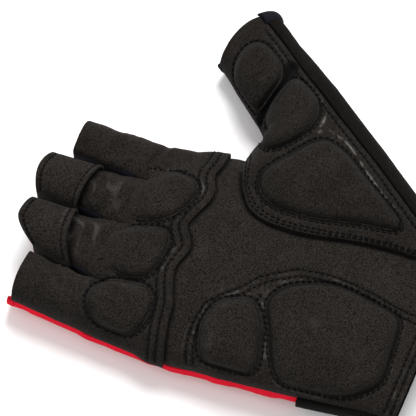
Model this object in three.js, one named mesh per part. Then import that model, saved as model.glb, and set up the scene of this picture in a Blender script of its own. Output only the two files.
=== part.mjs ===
// A padded half-finger cycling mitt for the right hand, lying on its back with the palm up.
// x runs across the hand towards the thumb, y along it towards the fingertips, z up out of the palm.
// The suede palm is cut in three overlapping panels with raised pads on them, the back is stretch
// cloth, and narrow gussets join the two between the fingers. Every piece is a thin closed solid
// on one of six skins: the palm side and the back of the hand, of each finger and of the thumb.
import * as THREE from "three";

const { lerp, clamp, smoothstep, degToRad } = THREE.MathUtils;

// Driving dimensions in millimetres
const PALM_WIDTH = 84; // across the roots of the four fingers
const PALM_LENGTH = 133; // wrist hem to the finger crotches
const WRIST_WIDTH = 73;
const WRIST_SHIFT = 9.5; // how far the wrist's middle lies towards the thumb
const HAND_HEIGHT = 26; // floor to the palm's skin
const FINGER_WIDTH = 18;
const FINGER_HEIGHT = 20.5;
const FINGER_LIFT = 2; // the back of the fingers is this far off the floor at the hems
const INDEX_REACH = 27.5; // crotch line to hem
const MIDDLE_REACH = 36;
const RING_REACH = 34.5;
const LITTLE_REACH = 24.5;
const THUMB_REACH = 130.5; // wrist hem to thumb hem along the outer side
const THUMB_WIDTH = 30; // across the thumb's hem
const THUMB_HEIGHT = 24.5;
const THUMB_BULGE = 2.4; // how far the outer side bows out
const BULGE_PEAK = 4 / 27; // the highest value of out ** 2 * (1 - out)
const THUMB_ANGLE = degToRad(31); // the outer side against the hand

// Cloth
const SUEDE = 1.2;
const STRETCH = 1;
const GAP = 0.35; // between pieces that touch
const STRIP_GAP = 0.7; // between the side strip and the cloth beside it
const UNDERLAP = 4.5; // how far the palm panel runs on under the other two
const UNDERLAP_LIMIT = 0.86; // and never past this share of the hand's half width
const LAP_FLAT = 1; // the knuckle panel stays up this far past the palm panel's edge
const LAP_FALL = 8; // and comes down over this length
const SLIT = 1.8; // between two neighbouring fingers
const SLIT_DIP = 3; // how far the suede dips at the end of a slit
const GUSSET_HEIGHT = 11;
const GUSSET_LEVEL = 0.55; // its middle, as a share of FINGER_HEIGHT
const DIP_LENGTH = 0.6; // the suede's dip runs out over this share of a finger
const STRIP_WIDTH = 8.5; // the side strip seen from above
const STRIP_TIP = 0.6; // its width at the thumb's hem, as a share of STRIP_WIDTH
const STRIP_TAPER = 0.72; // where it starts to narrow, as a share of THUMB_REACH
const STRIP_UNDER = 4.5; // the side strip seen from below
const STRIP_RISE = 0.7; // the side strip stands this far over the panels beside it
const PAD_RISE = 3.2;
const PAD_CORNER = 5;
const CORNER_LIMIT = 0.45; // a corner is rounded over this share of a side at most
const TAB_LENGTH = 20.5; // the pull tabs on the middle and ring fingers
const TAB_CLEARANCE = 0.8;
const TAB_SKIRT = 9;
const HEM_BAND = 2.6;
const HEM_THICKNESS = 1.8;
const THUMB_HEM_SETBACK = 1.8; // the cloth and the side strip end this far before the thumb's suede
const THUMB_HEM_BOW = 2.5; // how far the middle of the suede's hem runs on past its ends
const BACK_SETBACK = 4; // the back cloth starts this far in from the wrist hem
const STRAP_WIDTH = 38;
const STRAP_THICKNESS = 1.5;
const STRAP_LAP = 1.5; // how far it laps up over the suede's edge
const CLOSURE_LENGTH = 30; // the fastened end of the strap, across the back of the wrist
const CLOSURE_WIDTH = 24;
const PALM_HOLLOW = 1.2;
const KNUCKLE_BLEND = 13; // the length over which the palm parts into fingers
const STRAP_RAMP = 18; // the back comes down to the floor over this length past the strap
const FLOOR_PRESS = 0.9; // how much of the back's curve the floor presses flat

// How square a section is: 2 is an ellipse
const PALM_SQUARENESS = 2.6;
const BACK_SQUARENESS = 3;
const FINGER_SQUARENESS = 2.1;

// The hand's sections. along is a share of PALM_LENGTH; grow takes the width from WRIST_WIDTH
// towards PALM_WIDTH; shift is a share of WRIST_SHIFT; top, the two edge heights, where the suede
// ends on the sides, and bulge, by which the back cloth bellies out on the little finger's side,
// are shares of HAND_HEIGHT.
const HAND_ROWS = [
  { along: 0.0, grow: 0.0, shift: 1.0, top: 0.88, ulnar: 0.56, radial: 0.44, bulge: 0.0 },
  { along: 0.15, grow: 0.35, shift: 0.86, top: 0.93, ulnar: 0.55, radial: 0.42, bulge: 0.04 },
  { along: 0.34, grow: 0.76, shift: 0.69, top: 0.99, ulnar: 0.46, radial: 0.4, bulge: 0.07 },
  { along: 0.57, grow: 1.28, shift: 0.49, top: 1.0, ulnar: 0.4, radial: 0.4, bulge: 0.06 },
  { along: 0.7, grow: 1.68, shift: 0.45, top: 0.99, ulnar: 0.38, radial: 0.4, bulge: 0.05 },
  { along: 0.86, grow: 1.38, shift: 0.18, top: 0.94, ulnar: 0.38, radial: 0.4, bulge: 0.05 },
  { along: 1.0, grow: 1.0, shift: 0.0, top: 0.86, ulnar: 0.4, radial: 0.4, bulge: 0.05 },
];

// The crotches between the fingers, and the two sides. across is a share of half PALM_WIDTH, from
// the little finger's side to the index finger's, and along a share of PALM_LENGTH.
const CROTCHES = [
  { across: -1.0, along: 0.995 },
  { across: -0.54, along: 0.97 },
  { across: 0.04, along: 1.017 },
  { across: 0.552, along: 0.983 },
  { across: 1.0, along: 1.0 },
];

// The fingers, each between two crotches. tip is where the hem's middle lies, as a share of half
// PALM_WIDTH; width is a share of FINGER_WIDTH; the drops are how far the hem falls back at its two
// sides, and setback how far the back cloth stops short of the suede's hem, as shares of
// FINGER_WIDTH; edge is the suede edge's height at the hem where the finger has a side with no
// gusset, as a share of FINGER_HEIGHT.
const FINGERS = [
  { name: "little", tip: -0.748, width: 1.17, ulnarDrop: 0.05, radialDrop: 0.0, setback: -0.1, edge: 0.58 },
  { name: "ring", tip: -0.24, width: 0.97, ulnarDrop: 0.55, radialDrop: 0.08, setback: 0.28, edge: 0.5 },
  { name: "middle", tip: 0.262, width: 0.94, ulnarDrop: 0.15, radialDrop: 0.12, setback: 0.28, edge: 0.5 },
  { name: "index", tip: 0.752, width: 0.99, ulnarDrop: 0.0, radialDrop: 0.0, setback: 0.0, edge: 0.45 },
];
const REACH = { little: LITTLE_REACH, ring: RING_REACH, middle: MIDDLE_REACH, index: INDEX_REACH };

// Where the knuckle panel's edge laps over the palm panel: along, as a share of PALM_LENGTH,
// at shares of the hand's half width.
const KNUCKLE_LAP = [
  { across: -1.0, along: 0.69 },
  { across: -0.77, along: 0.721 },
  { across: -0.56, along: 0.743 },
  { across: -0.37, along: 0.762 },
  { across: -0.24, along: 0.764 },
  { across: -0.05, along: 0.738 },
  { across: 0.04, along: 0.746 },
  { across: 0.15, along: 0.774 },
  { across: 0.3, along: 0.77 },
  { across: 0.43, along: 0.761 },
  { across: 0.55, along: 0.766 },
  { across: 0.7, along: 0.784 },
  { across: 0.82, along: 0.773 },
  { across: 1.0, along: 0.77 },
];

// The ball of the thumb, from the wrist to the crotch of the thumb. out is a share of THUMB_REACH
// on the outer side. across and along say where the thumb panel's edge laps over the palm panel,
// back where the back of the thumb meets the back of the hand, both as shares of the hand's half
// width; top is a share of THUMB_HEIGHT.
const THENAR_ROWS = [
  { out: 0.0, across: 0.74, along: 0.0, back: 0.74, top: 0.97 },
  { out: 0.11, across: 0.7, along: 0.14, back: 0.74, top: 1.03 },
  { out: 0.2, across: 0.65, along: 0.25, back: 0.74, top: 1.07 },
  { out: 0.29, across: 0.585, along: 0.33, back: 0.74, top: 1.1 },
  { out: 0.37, across: 0.52, along: 0.405, back: 0.74, top: 1.12 },
  { out: 0.44, across: 0.465, along: 0.49, back: 0.75, top: 1.13 },
  { out: 0.495, across: 0.45, along: 0.575, back: 0.77, top: 1.13 },
  { out: 0.54, across: 0.49, along: 0.643, back: 0.81, top: 1.12 },
  { out: 0.575, across: 0.63, along: 0.688, back: 0.87, top: 1.1 },
  { out: 0.6, across: 0.81, along: 0.711, back: 0.94, top: 1.08 },
  { out: 0.625, across: 1.0, along: 0.72, back: 1.0, top: 1.06 },
];

// The thumb's own tube, from its crotch to its hem. width is a share of THUMB_WIDTH; setback is
// how far the inner side lags behind the outer side, as a share of THUMB_REACH.
const THUMB_ROWS = [
  { out: 0.665, width: 1.28, setback: 0.005, top: 1.03 },
  { out: 0.7, width: 1.19, setback: 0.005, top: 1.01 },
  { out: 0.77, width: 1.14, setback: 0.008, top: 0.98 },
  { out: 0.85, width: 1.1, setback: 0.015, top: 0.96 },
  { out: 0.93, width: 1.04, setback: 0.024, top: 0.94 },
  { out: 1.0, width: 0.99, setback: 0.033, top: 0.92 },
];
const BOW_START = 0.85; // where the thumb's hem starts to bow, as a share of THUMB_REACH
const THUMB_MID = 0.43; // height of the thumb's widest line, as a share of THUMB_HEIGHT
const THUMB_RISE = 0.06; // how far its back is off the floor at the hem, as a share of THUMB_HEIGHT

// Where the strap and its fastened end stop on the thumb's side, as shares of the wrist's half width
const STRAP_END = 0.68;
const CLOSURE_END = 0.58;

// The pads. Each corner is a pair of shares: across and along the hand, or across the thumb's row
// and out along its outer side.
const HAND_PADS = {
  pad_index: [
    [0.07, 0.95], [0.3, 0.982], [0.6, 0.98], [0.68, 0.93], [0.68, 0.86],
    [0.58, 0.813], [0.42, 0.798], [0.2, 0.82], [0.12, 0.865],
  ],
  pad_ring: [
    [-0.45, 0.955], [-0.36, 0.99], [-0.1, 0.982], [0.01, 0.94], [0.1, 0.84],
    [0.06, 0.8], [-0.14, 0.796], [-0.38, 0.825], [-0.45, 0.88],
  ],
  pad_little: [
    [-0.93, 0.93], [-0.8, 0.985], [-0.6, 0.99], [-0.5, 0.96],
    [-0.44, 0.83], [-0.56, 0.798], [-0.76, 0.78], [-0.92, 0.8],
  ],
  pad_heel_small: [[-0.94, 0.6], [-0.6, 0.65], [-0.38, 0.62], [-0.25, 0.52], [-0.4, 0.477], [-0.95, 0.415]],
  pad_heel_large: [
    [-0.75, 0.41], [-0.25, 0.485], [-0.05, 0.44], [0.12, 0.32], [0.12, 0.25],
    [0.04, 0.09], [-0.75, 0.07], [-0.95, 0.15], [-0.96, 0.36],
  ],
};
const THUMB_PADS = {
  pad_thumb_tip: [
    [-0.97, 0.935], [-0.3, 0.948], [0.2, 0.925], [0.2, 0.83],
    [-0.06, 0.775], [-0.5, 0.76], [-0.97, 0.737],
  ],
  pad_thumb_middle: [
    [-0.97, 0.722], [-0.5, 0.745], [-0.1, 0.762], [0.3, 0.768], [0.37, 0.67],
    [0.47, 0.61], [0.2, 0.583], [-0.55, 0.598], [-0.8, 0.625],
  ],
  pad_thumb_base: [
    [-0.82, 0.583], [-0.1, 0.573], [0.38, 0.558], [0.46, 0.49],
    [0.1, 0.26], [-0.1, 0.19], [-0.48, 0.18], [-0.74, 0.42],
  ],
};

// Grid sizes
const FINGER_COLUMNS = 8;
const FINGER_BACK_COLUMNS = 6;
const FINGER_STEPS = 5;
const PAD_SIDES = 24;

const GUSSET_MID = FINGER_HEIGHT * GUSSET_LEVEL;
const LAP_LIFT = GAP + SUEDE;
const BACK_FLOOR = 2 * (STRAP_THICKNESS + GAP); // room for the strap and its closure under the wrist

// One column of a table at a place between its rows, on a smooth curve through them
function read(rows, key, column, at) {
  const last = rows.length - 1;
  const above = rows.findIndex((row) => row[key] > at);
  const i = above < 0 ? last - 1 : clamp(above - 1, 0, last - 1);
  const slope = (a, b) => (rows[b][column] - rows[a][column]) / (rows[b][key] - rows[a][key]);
  const span = rows[i + 1][key] - rows[i][key];
  const t = clamp((at - rows[i][key]) / span, 0, 1);
  const from = slope(Math.max(i - 1, 0), i + 1) * span;
  const to = slope(i, Math.min(i + 2, last)) * span;
  const start = rows[i][column];
  const rise = rows[i + 1][column] - start;
  return start + t * (from + t * (3 * rise - 2 * from - to + t * (from + to - 2 * rise)));
}

// The height of a rounded section, 1 in the middle and 0 at its two sides
function bow(across, squareness) {
  return Math.max(0, 1 - Math.abs(across) ** squareness) ** (1 / squareness);
}

// How far the back cloth lies outside the suede's edge on the little finger's side
function belly(across, squareness, bulge) {
  return across < 0 ? bulge * Math.sin(Math.PI * bow(across, squareness)) : 0;
}

function crotchLine(across) {
  const i = clamp(CROTCHES.findIndex((row) => row.across >= across), 1, CROTCHES.length - 1);
  const [a, b] = [CROTCHES[i - 1], CROTCHES[i]];
  const share = (across - a.across) / (b.across - a.across);
  return PALM_LENGTH * lerp(a.along, b.along, share);
}

function handSection(along) {
  const column = (name) => read(HAND_ROWS, "along", name, along);
  const past = smoothstep(along * PALM_LENGTH, STRAP_WIDTH, STRAP_WIDTH + STRAP_RAMP);
  return {
    middle: WRIST_SHIFT * column("shift"),
    half: lerp(WRIST_WIDTH, PALM_WIDTH, column("grow")) / 2,
    top: HAND_HEIGHT * column("top"),
    ulnar: HAND_HEIGHT * column("ulnar"),
    radial: HAND_HEIGHT * column("radial"),
    bulge: HAND_HEIGHT * column("bulge"),
    floor: BACK_FLOOR * (1 - past),
  };
}

// A finger's section at a share of its length: its two sides, its top and bottom, and the heights
// at which the suede and the back cloth end on each side
function fingerSection(finger, share) {
  const i = FINGERS.indexOf(finger);
  const scale = PALM_WIDTH / 2;
  const opened = (SLIT / 2) * smoothstep(share, 0, 1 / FINGER_STEPS);
  const hemHalf = (FINGER_WIDTH * finger.width) / 2;
  const left = lerp(CROTCHES[i].across * scale, finger.tip * scale - hemHalf, share);
  const right = lerp(CROTCHES[i + 1].across * scale, finger.tip * scale + hemHalf, share);
  const root = handSection(1);
  const outer = (height) => lerp(height, FINGER_HEIGHT * finger.edge, share);
  const dip = smoothstep(share, 0, DIP_LENGTH);
  const suede = lerp(root.top - SLIT_DIP, GUSSET_MID + GUSSET_HEIGHT / 2, dip);
  const cloth = GUSSET_MID - GUSSET_HEIGHT / 2;
  const isLittle = i === 0;
  const isIndex = i === FINGERS.length - 1;
  return {
    left: left + (isLittle ? 0 : opened),
    right: right - (isIndex ? 0 : opened),
    top: lerp(root.top, FINGER_HEIGHT + FINGER_LIFT / 2, share),
    bottom: FINGER_LIFT * share,
    leftEdge: isLittle ? outer(root.ulnar) : suede,
    rightEdge: isIndex ? outer(root.radial) : suede,
    leftCloth: isLittle ? outer(root.ulnar) - GAP : cloth,
    rightCloth: isIndex ? outer(root.radial) - GAP : cloth,
  };
}

function lobeTop(section, local) {
  const edge = lerp(section.leftEdge, section.rightEdge, (local + 1) / 2);
  return lerp(edge, section.top, bow(local, FINGER_SQUARENESS));
}

function lobeBack(section, local) {
  const edge = lerp(section.leftCloth, section.rightCloth, (local + 1) / 2);
  return lerp(edge, section.bottom, bow(local, FINGER_SQUARENESS));
}

// The finger that a place across the hand runs into, and the place across that finger
function fingerAt(across) {
  const i = clamp(CROTCHES.findIndex((row) => row.across > across) - 1, 0, FINGERS.length - 1);
  const index = across >= 1 ? FINGERS.length - 1 : i;
  const [a, b] = [CROTCHES[index].across, CROTCHES[index + 1].across];
  return { finger: FINGERS[index], local: (2 * (across - a)) / (b - a) - 1 };
}

function knuckleShare(along) {
  return smoothstep(along * PALM_LENGTH, PALM_LENGTH - KNUCKLE_BLEND, PALM_LENGTH);
}

function handTop(across, along) {
  const section = handSection(along);
  const edge = across < 0 ? section.ulnar : section.radial;
  const hollow = PALM_HOLLOW * (1 - across ** 2) ** 2 * Math.sin(Math.PI * clamp(along, 0, 1));
  const palm = lerp(edge, section.top, bow(across, PALM_SQUARENESS)) - hollow;
  const { finger, local } = fingerAt(across);
  const lobe = lobeTop(fingerSection(finger, 0), local);
  const height = lerp(palm, lobe, knuckleShare(along));
  return new THREE.Vector3(section.middle + section.half * across, along * crotchLine(across), height);
}

function handBack(across, along) {
  const section = handSection(along);
  const edge = (across < 0 ? section.ulnar : section.radial) - GAP;
  const curve = lerp(edge, section.floor, bow(across, BACK_SQUARENESS));
  const palm = Math.max(section.floor, curve - FLOOR_PRESS * bow(across, BACK_SQUARENESS));
  const { finger, local } = fingerAt(across);
  const lobe = lobeBack(fingerSection(finger, 0), local);
  const height = lerp(palm, lobe, knuckleShare(along));
  const bulge = belly(across, BACK_SQUARENESS, section.bulge);
  const out = lerp(bulge, fingerBelly(finger, local), knuckleShare(along));
  const x = section.middle + section.half * across - out;
  return new THREE.Vector3(x, along * crotchLine(across), height);
}

// Where a place on a finger lies along the hand
function fingerAlong(finger, local, share) {
  const i = FINGERS.indexOf(finger);
  const across = lerp(CROTCHES[i].across, CROTCHES[i + 1].across, (local + 1) / 2);
  const drop = FINGER_WIDTH * (local < 0 ? finger.ulnarDrop : finger.radialDrop) * local ** 2;
  return lerp(crotchLine(across), PALM_LENGTH + REACH[finger.name] - drop, share);
}

function onFinger(finger, local, share, height) {
  const section = fingerSection(finger, share);
  const x = lerp(section.left, section.right, (local + 1) / 2);
  return new THREE.Vector3(x, fingerAlong(finger, local, share), height(section, local));
}

const fingerTop = (finger, local, share) => onFinger(finger, local, share, lobeTop);

function fingerBack(finger, local, share) {
  const point = onFinger(finger, local, share, lobeBack);
  point.x -= fingerBelly(finger, local);
  return point;
}

function fingerBelly(finger, local) {
  return finger === FINGERS[0] ? belly(local, FINGER_SQUARENESS, handSection(1).bulge) : 0;
}

// The thumb's own directions: out across it from the fingers, and forward to its tip
const outward = new THREE.Vector3(Math.cos(THUMB_ANGLE), -Math.sin(THUMB_ANGLE), 0);
const forward = new THREE.Vector3(Math.sin(THUMB_ANGLE), Math.cos(THUMB_ANGLE), 0);

// The thumb's rows: the two ends of each, on the palm side and on the back, and its height. Those
// of the ball of the thumb start on the hand, and those of the tube start at its inner side.
function thumbRows() {
  const corner = new THREE.Vector3(WRIST_SHIFT + WRIST_WIDTH / 2, 0, THUMB_HEIGHT * THUMB_MID);
  const outerSide = (out) =>
    corner
      .clone()
      .addScaledVector(forward, THUMB_REACH * out)
      .addScaledVector(outward, (THUMB_BULGE * out ** 2 * (1 - out)) / BULGE_PEAK);
  const row = (data, lap, join) => {
    const outer = outerSide(data.out);
    const past = smoothstep(data.out, THENAR_ROWS.at(-1).out, 1);
    const wrist = handSection(data.along ?? 1).floor;
    return {
      out: data.out,
      outerX: outer.x,
      outerY: outer.y,
      outerZ: outer.z,
      lapX: lap.x,
      lapY: lap.y,
      lapZ: lap.z,
      joinX: join.x,
      joinY: join.y,
      joinZ: join.z,
      top: THUMB_HEIGHT * data.top,
      floor: wrist + THUMB_HEIGHT * THUMB_RISE * past,
    };
  };
  const thenar = THENAR_ROWS.map((data) => {
    const lap = handTop(data.across, data.along);
    lap.addScaledVector(normalOf(handTop, data.across, data.along), LAP_LIFT + GAP / 2);
    const join = handBack(data.back, data.along);
    join.addScaledVector(outward, GAP);
    return row(data, lap, join);
  });
  const tube = THUMB_ROWS.map((data) => {
    const inner = outerSide(data.out).addScaledVector(forward, -THUMB_REACH * data.setback);
    inner.addScaledVector(outward, -THUMB_WIDTH * data.width);
    return row(data, inner, inner.clone().setZ(inner.z - GAP));
  });
  return [...thenar, ...tube];
}

// The outward normal of a skin that is given by two shares
function normalOf(skin, u, v, step = 1e-3) {
  const alongU = skin(Math.min(u + step, 1), v).sub(skin(Math.max(u - step, -1), v));
  const alongV = skin(u, Math.min(v + step, 1)).sub(skin(u, Math.max(v - step, 0)));
  return alongU.cross(alongV).normalize();
}

const THUMB = thumbRows();

function thumbPoint(across, out, innerName, peak) {
  const column = (name) => read(THUMB, "out", name, out);
  const share = (across + 1) / 2;
  const side = across < 0 ? column(innerName + "Z") : column("outerZ");
  return new THREE.Vector3(
    lerp(column(innerName + "X"), column("outerX"), share),
    lerp(column(innerName + "Y"), column("outerY"), share),
    lerp(side, column(peak), bow(across, FINGER_SQUARENESS)),
  );
}

function thumbTop(across, out) {
  const bowed = THUMB_HEM_BOW * (1 - across ** 2) * smoothstep(out, BOW_START, 1);
  return thumbPoint(across, out, "lap", "top").addScaledVector(forward, bowed);
}

const thumbBack = (across, out) => thumbPoint(across, out, "join", "floor");

// The place across the thumb's row at a distance in from the outer side
function inFrom(distance, out) {
  const row = thumbTop(1, out).sub(thumbTop(-1, out)).setZ(0).length();
  return 1 - (2 * distance) / row;
}

// The side strip narrows towards the thumb's hem
const stripTop = (out) => STRIP_WIDTH * lerp(1, STRIP_TIP, smoothstep(out, STRIP_TAPER, 1));

const steps = (count, from = 0, to = 1) =>
  Array.from({ length: count + 1 }, (_, i) => lerp(from, to, i / count));

// Places from one side of a rounded section to the other, closer together where it turns down
const archSteps = (count, from = -1, to = 1) =>
  steps(count, Math.acos(-from) || 0, Math.acos(-to)).map((angle) => clamp(-Math.cos(angle), -1, 1));

// A skin of quads with shared corners, which becomes a panel of cloth
class Skin {
  constructor() {
    this.points = [];
    this.lifts = [];
    this.upright = [];
    this.quads = [];
    this.known = new Map();
  }

  corner(point, lift, upright) {
    const key = point.toArray().map((value) => value.toFixed(3)).join();
    if (!this.known.has(key)) {
      this.known.set(key, this.points.length);
      this.points.push(point);
      this.lifts.push(lift);
      this.upright.push(upright);
    }
    return this.known.get(key);
  }

  // place gives the point for a column and a row; the outside is on the side from which the
  // columns run to the right where the rows run up. lift raises a point off the skin, and
  // upright tells where the cloth stands on edge beside a seam.
  grid(columns, rows, place, lift = () => 0, upright = (column) => Math.abs(column) === 1) {
    const corner = (column, row) => this.corner(place(column, row), lift(column, row), upright(column, row));
    const corners = rows.map((row) => columns.map((column) => corner(column, row)));
    for (let r = 0; r + 1 < rows.length; r++)
      for (let c = 0; c + 1 < columns.length; c++)
        this.quads.push([corners[r][c], corners[r][c + 1], corners[r + 1][c + 1], corners[r + 1][c]]);
    return this;
  }

  turned() {
    this.quads.forEach((quad) => quad.reverse());
    return this;
  }

  normals() {
    const normals = this.points.map(() => new THREE.Vector3());
    for (const quad of this.quads) {
      const [a, b, c, d] = quad.map((corner) => this.points[corner]);
      const face = c.clone().sub(a).cross(d.clone().sub(b));
      quad.forEach((corner) => normals[corner].add(face));
    }
    normals.forEach((normal, i) => this.upright[i] && normal.setZ(0));
    return normals.map((normal) => normal.normalize());
  }

  // The closed solid between the lifted skin and the same skin a thickness further in
  cloth(thickness) {
    const normals = this.normals();
    const outer = this.points.map((point, i) => point.clone().addScaledVector(normals[i], this.lifts[i]));
    const inner = outer.map((point, i) => point.clone().addScaledVector(normals[i], -thickness));
    const size = outer.length;
    const triangles = [];
    const edges = new Map();
    for (const [a, b, c, d] of this.quads) {
      triangles.push([a, b, c], [a, c, d]);
      triangles.push([c + size, b + size, a + size], [d + size, c + size, a + size]);
      for (const [from, to] of [[a, b], [b, c], [c, d], [d, a]]) edges.set(from + " " + to, [from, to]);
    }
    for (const [from, to] of edges.values())
      if (!edges.has(to + " " + from))
        triangles.push([to, from, from + size], [to, from + size, to + size]);
    return solid([...outer, ...inner], triangles);
  }
}

function solid(points, triangles) {
  const geometry = new THREE.BufferGeometry().setFromPoints(points);
  geometry.setIndex(triangles.flat());
  geometry.computeVertexNormals();
  return geometry;
}

// Materials
const finish = (color, roughness) => new THREE.MeshStandardMaterial({ color, roughness, metalness: 0 });
const suede = finish(0x2f2b28, 0.95);
const padSuede = finish(0x36322e, 0.95);
const redCloth = finish(0xc8202c, 0.8);
const navyCloth = finish(0x22222a, 0.75);
const strapCloth = finish(0x1d1a18, 0.85);

const glove = new THREE.Group();

function add(name, geometry, material) {
  const mesh = new THREE.Mesh(geometry, material);
  mesh.name = name;
  glove.add(mesh);
}

// Palm panel: from the wrist hem to under the knuckle panel, and across to under the thumb panel
const underlapShare = UNDERLAP / PALM_LENGTH;
const WEB = THENAR_ROWS.at(-1).along; // where the thumb parts from the hand
const WEB_TURN = 0.012; // the palm panel's edge runs out to the hand's side over this share

function palmRadialEdge(along) {
  const lap = read(THENAR_ROWS, "along", "across", Math.min(along + underlapShare, WEB));
  const covered = Math.min(lap + UNDERLAP / handSection(along).half, UNDERLAP_LIMIT);
  return lerp(covered, 1, smoothstep(along, WEB, WEB + WEB_TURN));
}

function palmPanel() {
  const along = (column, row) => row * (read(KNUCKLE_LAP, "across", "along", column) + underlapShare);
  const place = (column, row) => {
    const across = lerp(-1, palmRadialEdge(along(column, row)), (column + 1) / 2);
    return handTop(across, along(column, row));
  };
  const onSide = (column, row) => column === -1 || (column === 1 && along(column, row) > WEB);
  const web = WEB / (KNUCKLE_LAP.at(-1).along + underlapShare);
  const besideWeb = [-1.25, 0, 1.35, 5.4].map((turns) => web + turns * WEB_TURN);
  const rows = [...steps(10, 0, web - 4 * WEB_TURN), ...besideWeb, 1];
  return new Skin().grid(archSteps(18), rows, place, () => 0, onSide).cloth(SUEDE);
}

// Knuckle panel: the palm side of the knuckles and of the four fingers
const knuckleColumns = (perFinger) =>
  FINGERS.flatMap((finger, i) => {
    const [a, b] = [CROTCHES[i].across, CROTCHES[i + 1].across];
    const places = archSteps(perFinger).map((local) => lerp(a, b, (local + 1) / 2));
    return i === 0 ? places : places.slice(1);
  });

// The knuckle panel rides up on the palm panel beside the lap and comes down beyond it
function knuckleLift(across, along) {
  const past = along * PALM_LENGTH - read(KNUCKLE_LAP, "across", "along", across) * PALM_LENGTH;
  const start = UNDERLAP + LAP_FLAT;
  return LAP_LIFT * (1 - smoothstep(past, start, start + LAP_FALL));
}

function fingerGrids(skin, perFinger, surface, end = () => 1) {
  for (const finger of FINGERS) {
    const rows = steps(FINGER_STEPS, 0, end(finger));
    skin.grid(archSteps(perFinger), rows, (local, share) => surface(finger, local, share));
  }
  return skin;
}

// The back cloth of a finger ends where its hem band starts
const hemPlace = (finger, back) => 1 - (finger.setback * FINGER_WIDTH + back) / REACH[finger.name];
const clothEnd = (finger) => hemPlace(finger, HEM_BAND + GAP);

function knucklePanel() {
  const skin = new Skin();
  const along = (across, row) => lerp(read(KNUCKLE_LAP, "across", "along", across), 1, row);
  const rows = [0, 0.14, 0.28, 0.42, 0.58, 0.72, 0.86, 1];
  skin.grid(
    knuckleColumns(FINGER_COLUMNS),
    rows,
    (across, row) => handTop(across, along(across, row)),
    (across, row) => knuckleLift(across, along(across, row)),
  );
  return fingerGrids(skin, FINGER_COLUMNS, fingerTop).cloth(SUEDE);
}

// Thumb panel: over the ball of the thumb and up the palm side of the thumb
const thumbStations = [...THENAR_ROWS, ...THUMB_ROWS].map((row) => row.out);
const clothStations = [...thumbStations.slice(0, -1), 1 - THUMB_HEM_SETBACK / THUMB_REACH];

function thumbPanel() {
  const edge = (out) => inFrom(stripTop(out) + STRIP_GAP, out);
  const place = (column, out) => thumbTop(lerp(-1, edge(out), (column + 1) / 2), out);
  const onSide = (column, out) => column === -1 && out > THENAR_ROWS.at(-1).out;
  return new Skin().grid(archSteps(12), thumbStations, place, () => 0, onSide).cloth(SUEDE);
}

// Back panel: the back of the hand and of the four fingers
const BACK_ROWS = [
  0.09, 0.18, 0.27, 0.33, 0.39, 0.48, 0.56, 0.617, 0.665, 0.693, 0.708, 0.76, 0.84, 0.92, 0.96, 1,
];

function backPanel() {
  const radialEdge = (along) => (along < WEB ? read(THENAR_ROWS, "along", "back", along) : 1);
  const place = (across, along) => handBack(across * lerp(1, radialEdge(along), (across + 1) / 2), along);
  const rows = [BACK_SETBACK / PALM_LENGTH, ...BACK_ROWS];
  const onSide = (column, along) => column === -1 || (column === 1 && along > WEB);
  const skin = new Skin().grid(knuckleColumns(FINGER_BACK_COLUMNS), rows, place, () => 0, onSide);
  return fingerGrids(skin, FINGER_BACK_COLUMNS, fingerBack, clothEnd).turned().cloth(STRETCH);
}

// Back of the thumb, from the back panel to the side strip
function thumbBackPanel() {
  const place = (column, out) => {
    const edge = inFrom(STRIP_UNDER + STRIP_GAP, out);
    return thumbBack(lerp(-1, edge, (column + 1) / 2), out);
  };
  const onSide = (column, out) => column === -1 && out > THENAR_ROWS.at(-1).out;
  return new Skin().grid(archSteps(9), clothStations, place, () => 0, onSide).turned().cloth(STRETCH);
}

// Side strip: round the outer side of the thumb, from the wrist hem to the thumb hem. Shares from
// 1 to 0 run down the palm side to the widest line, and from 0 to -1 on round to the back.
function sideStripPoint(share, out) {
  if (share >= 0) return thumbTop(lerp(1, inFrom(stripTop(out), out), share), out);
  return thumbBack(lerp(1, inFrom(STRIP_UNDER, out), -share), out);
}

const STRIP_PLACES = [1, 0.7, 0.35, 0.1, 0, -0.15, -0.5, -1];

function sideStrip() {
  return new Skin()
    .grid(STRIP_PLACES, clothStations, sideStripPoint, () => STRIP_RISE, () => false)
    .cloth(SUEDE + STRIP_RISE);
}

// Gussets: each runs down one side of a slit, round the crotch and up the other side
function gusset(left, right) {
  const down = steps(FINGER_STEPS, 1, 0).map((share) => ({ finger: left, local: 1, share }));
  const up = steps(FINGER_STEPS).slice(1).map((share) => ({ finger: right, local: -1, share }));
  // Next to the crotch the gusset keeps clear of the cloth that folds over it
  const place = (stop, level) => {
    const section = fingerSection(stop.finger, stop.share);
    const [suedeEdge, clothEdge] =
      stop.local < 0 ? [section.leftEdge, section.leftCloth] : [section.rightEdge, section.rightCloth];
    const clear = GAP + lerp(SUEDE, 0, smoothstep(stop.share, 0, DIP_LENGTH / 2));
    const height = lerp(clothEdge + clear, suedeEdge - clear, (level + 1) / 2);
    return fingerTop(stop.finger, stop.local, stop.share).setZ(height);
  };
  return new Skin().grid([...down, ...up], [-1, 0, 1], place).turned().cloth(STRETCH);
}

// Pull tabs: a loop of suede over the end of a finger, a little clear of it
function pullTab(finger) {
  const start = 1 - TAB_LENGTH / REACH[finger.name];
  const columns = [-2, ...archSteps(FINGER_COLUMNS), 2];
  const clearance = (local) => SUEDE + lerp(GAP, TAB_CLEARANCE, bow(clamp(local, -1, 1), FINGER_SQUARENESS));
  const place = (local, share) => {
    const side = clamp(local, -1, 1);
    const point = fingerTop(finger, side, share);
    if (side !== local) point.z -= TAB_SKIRT;
    return point;
  };
  return new Skin()
    .grid(columns, steps(3, start, 1), place, clearance)
    .cloth(SUEDE);
}

// Hem bands: the turned edge of the back cloth at each opening
const bandLift = () => (HEM_THICKNESS - STRETCH) / 2;

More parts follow.
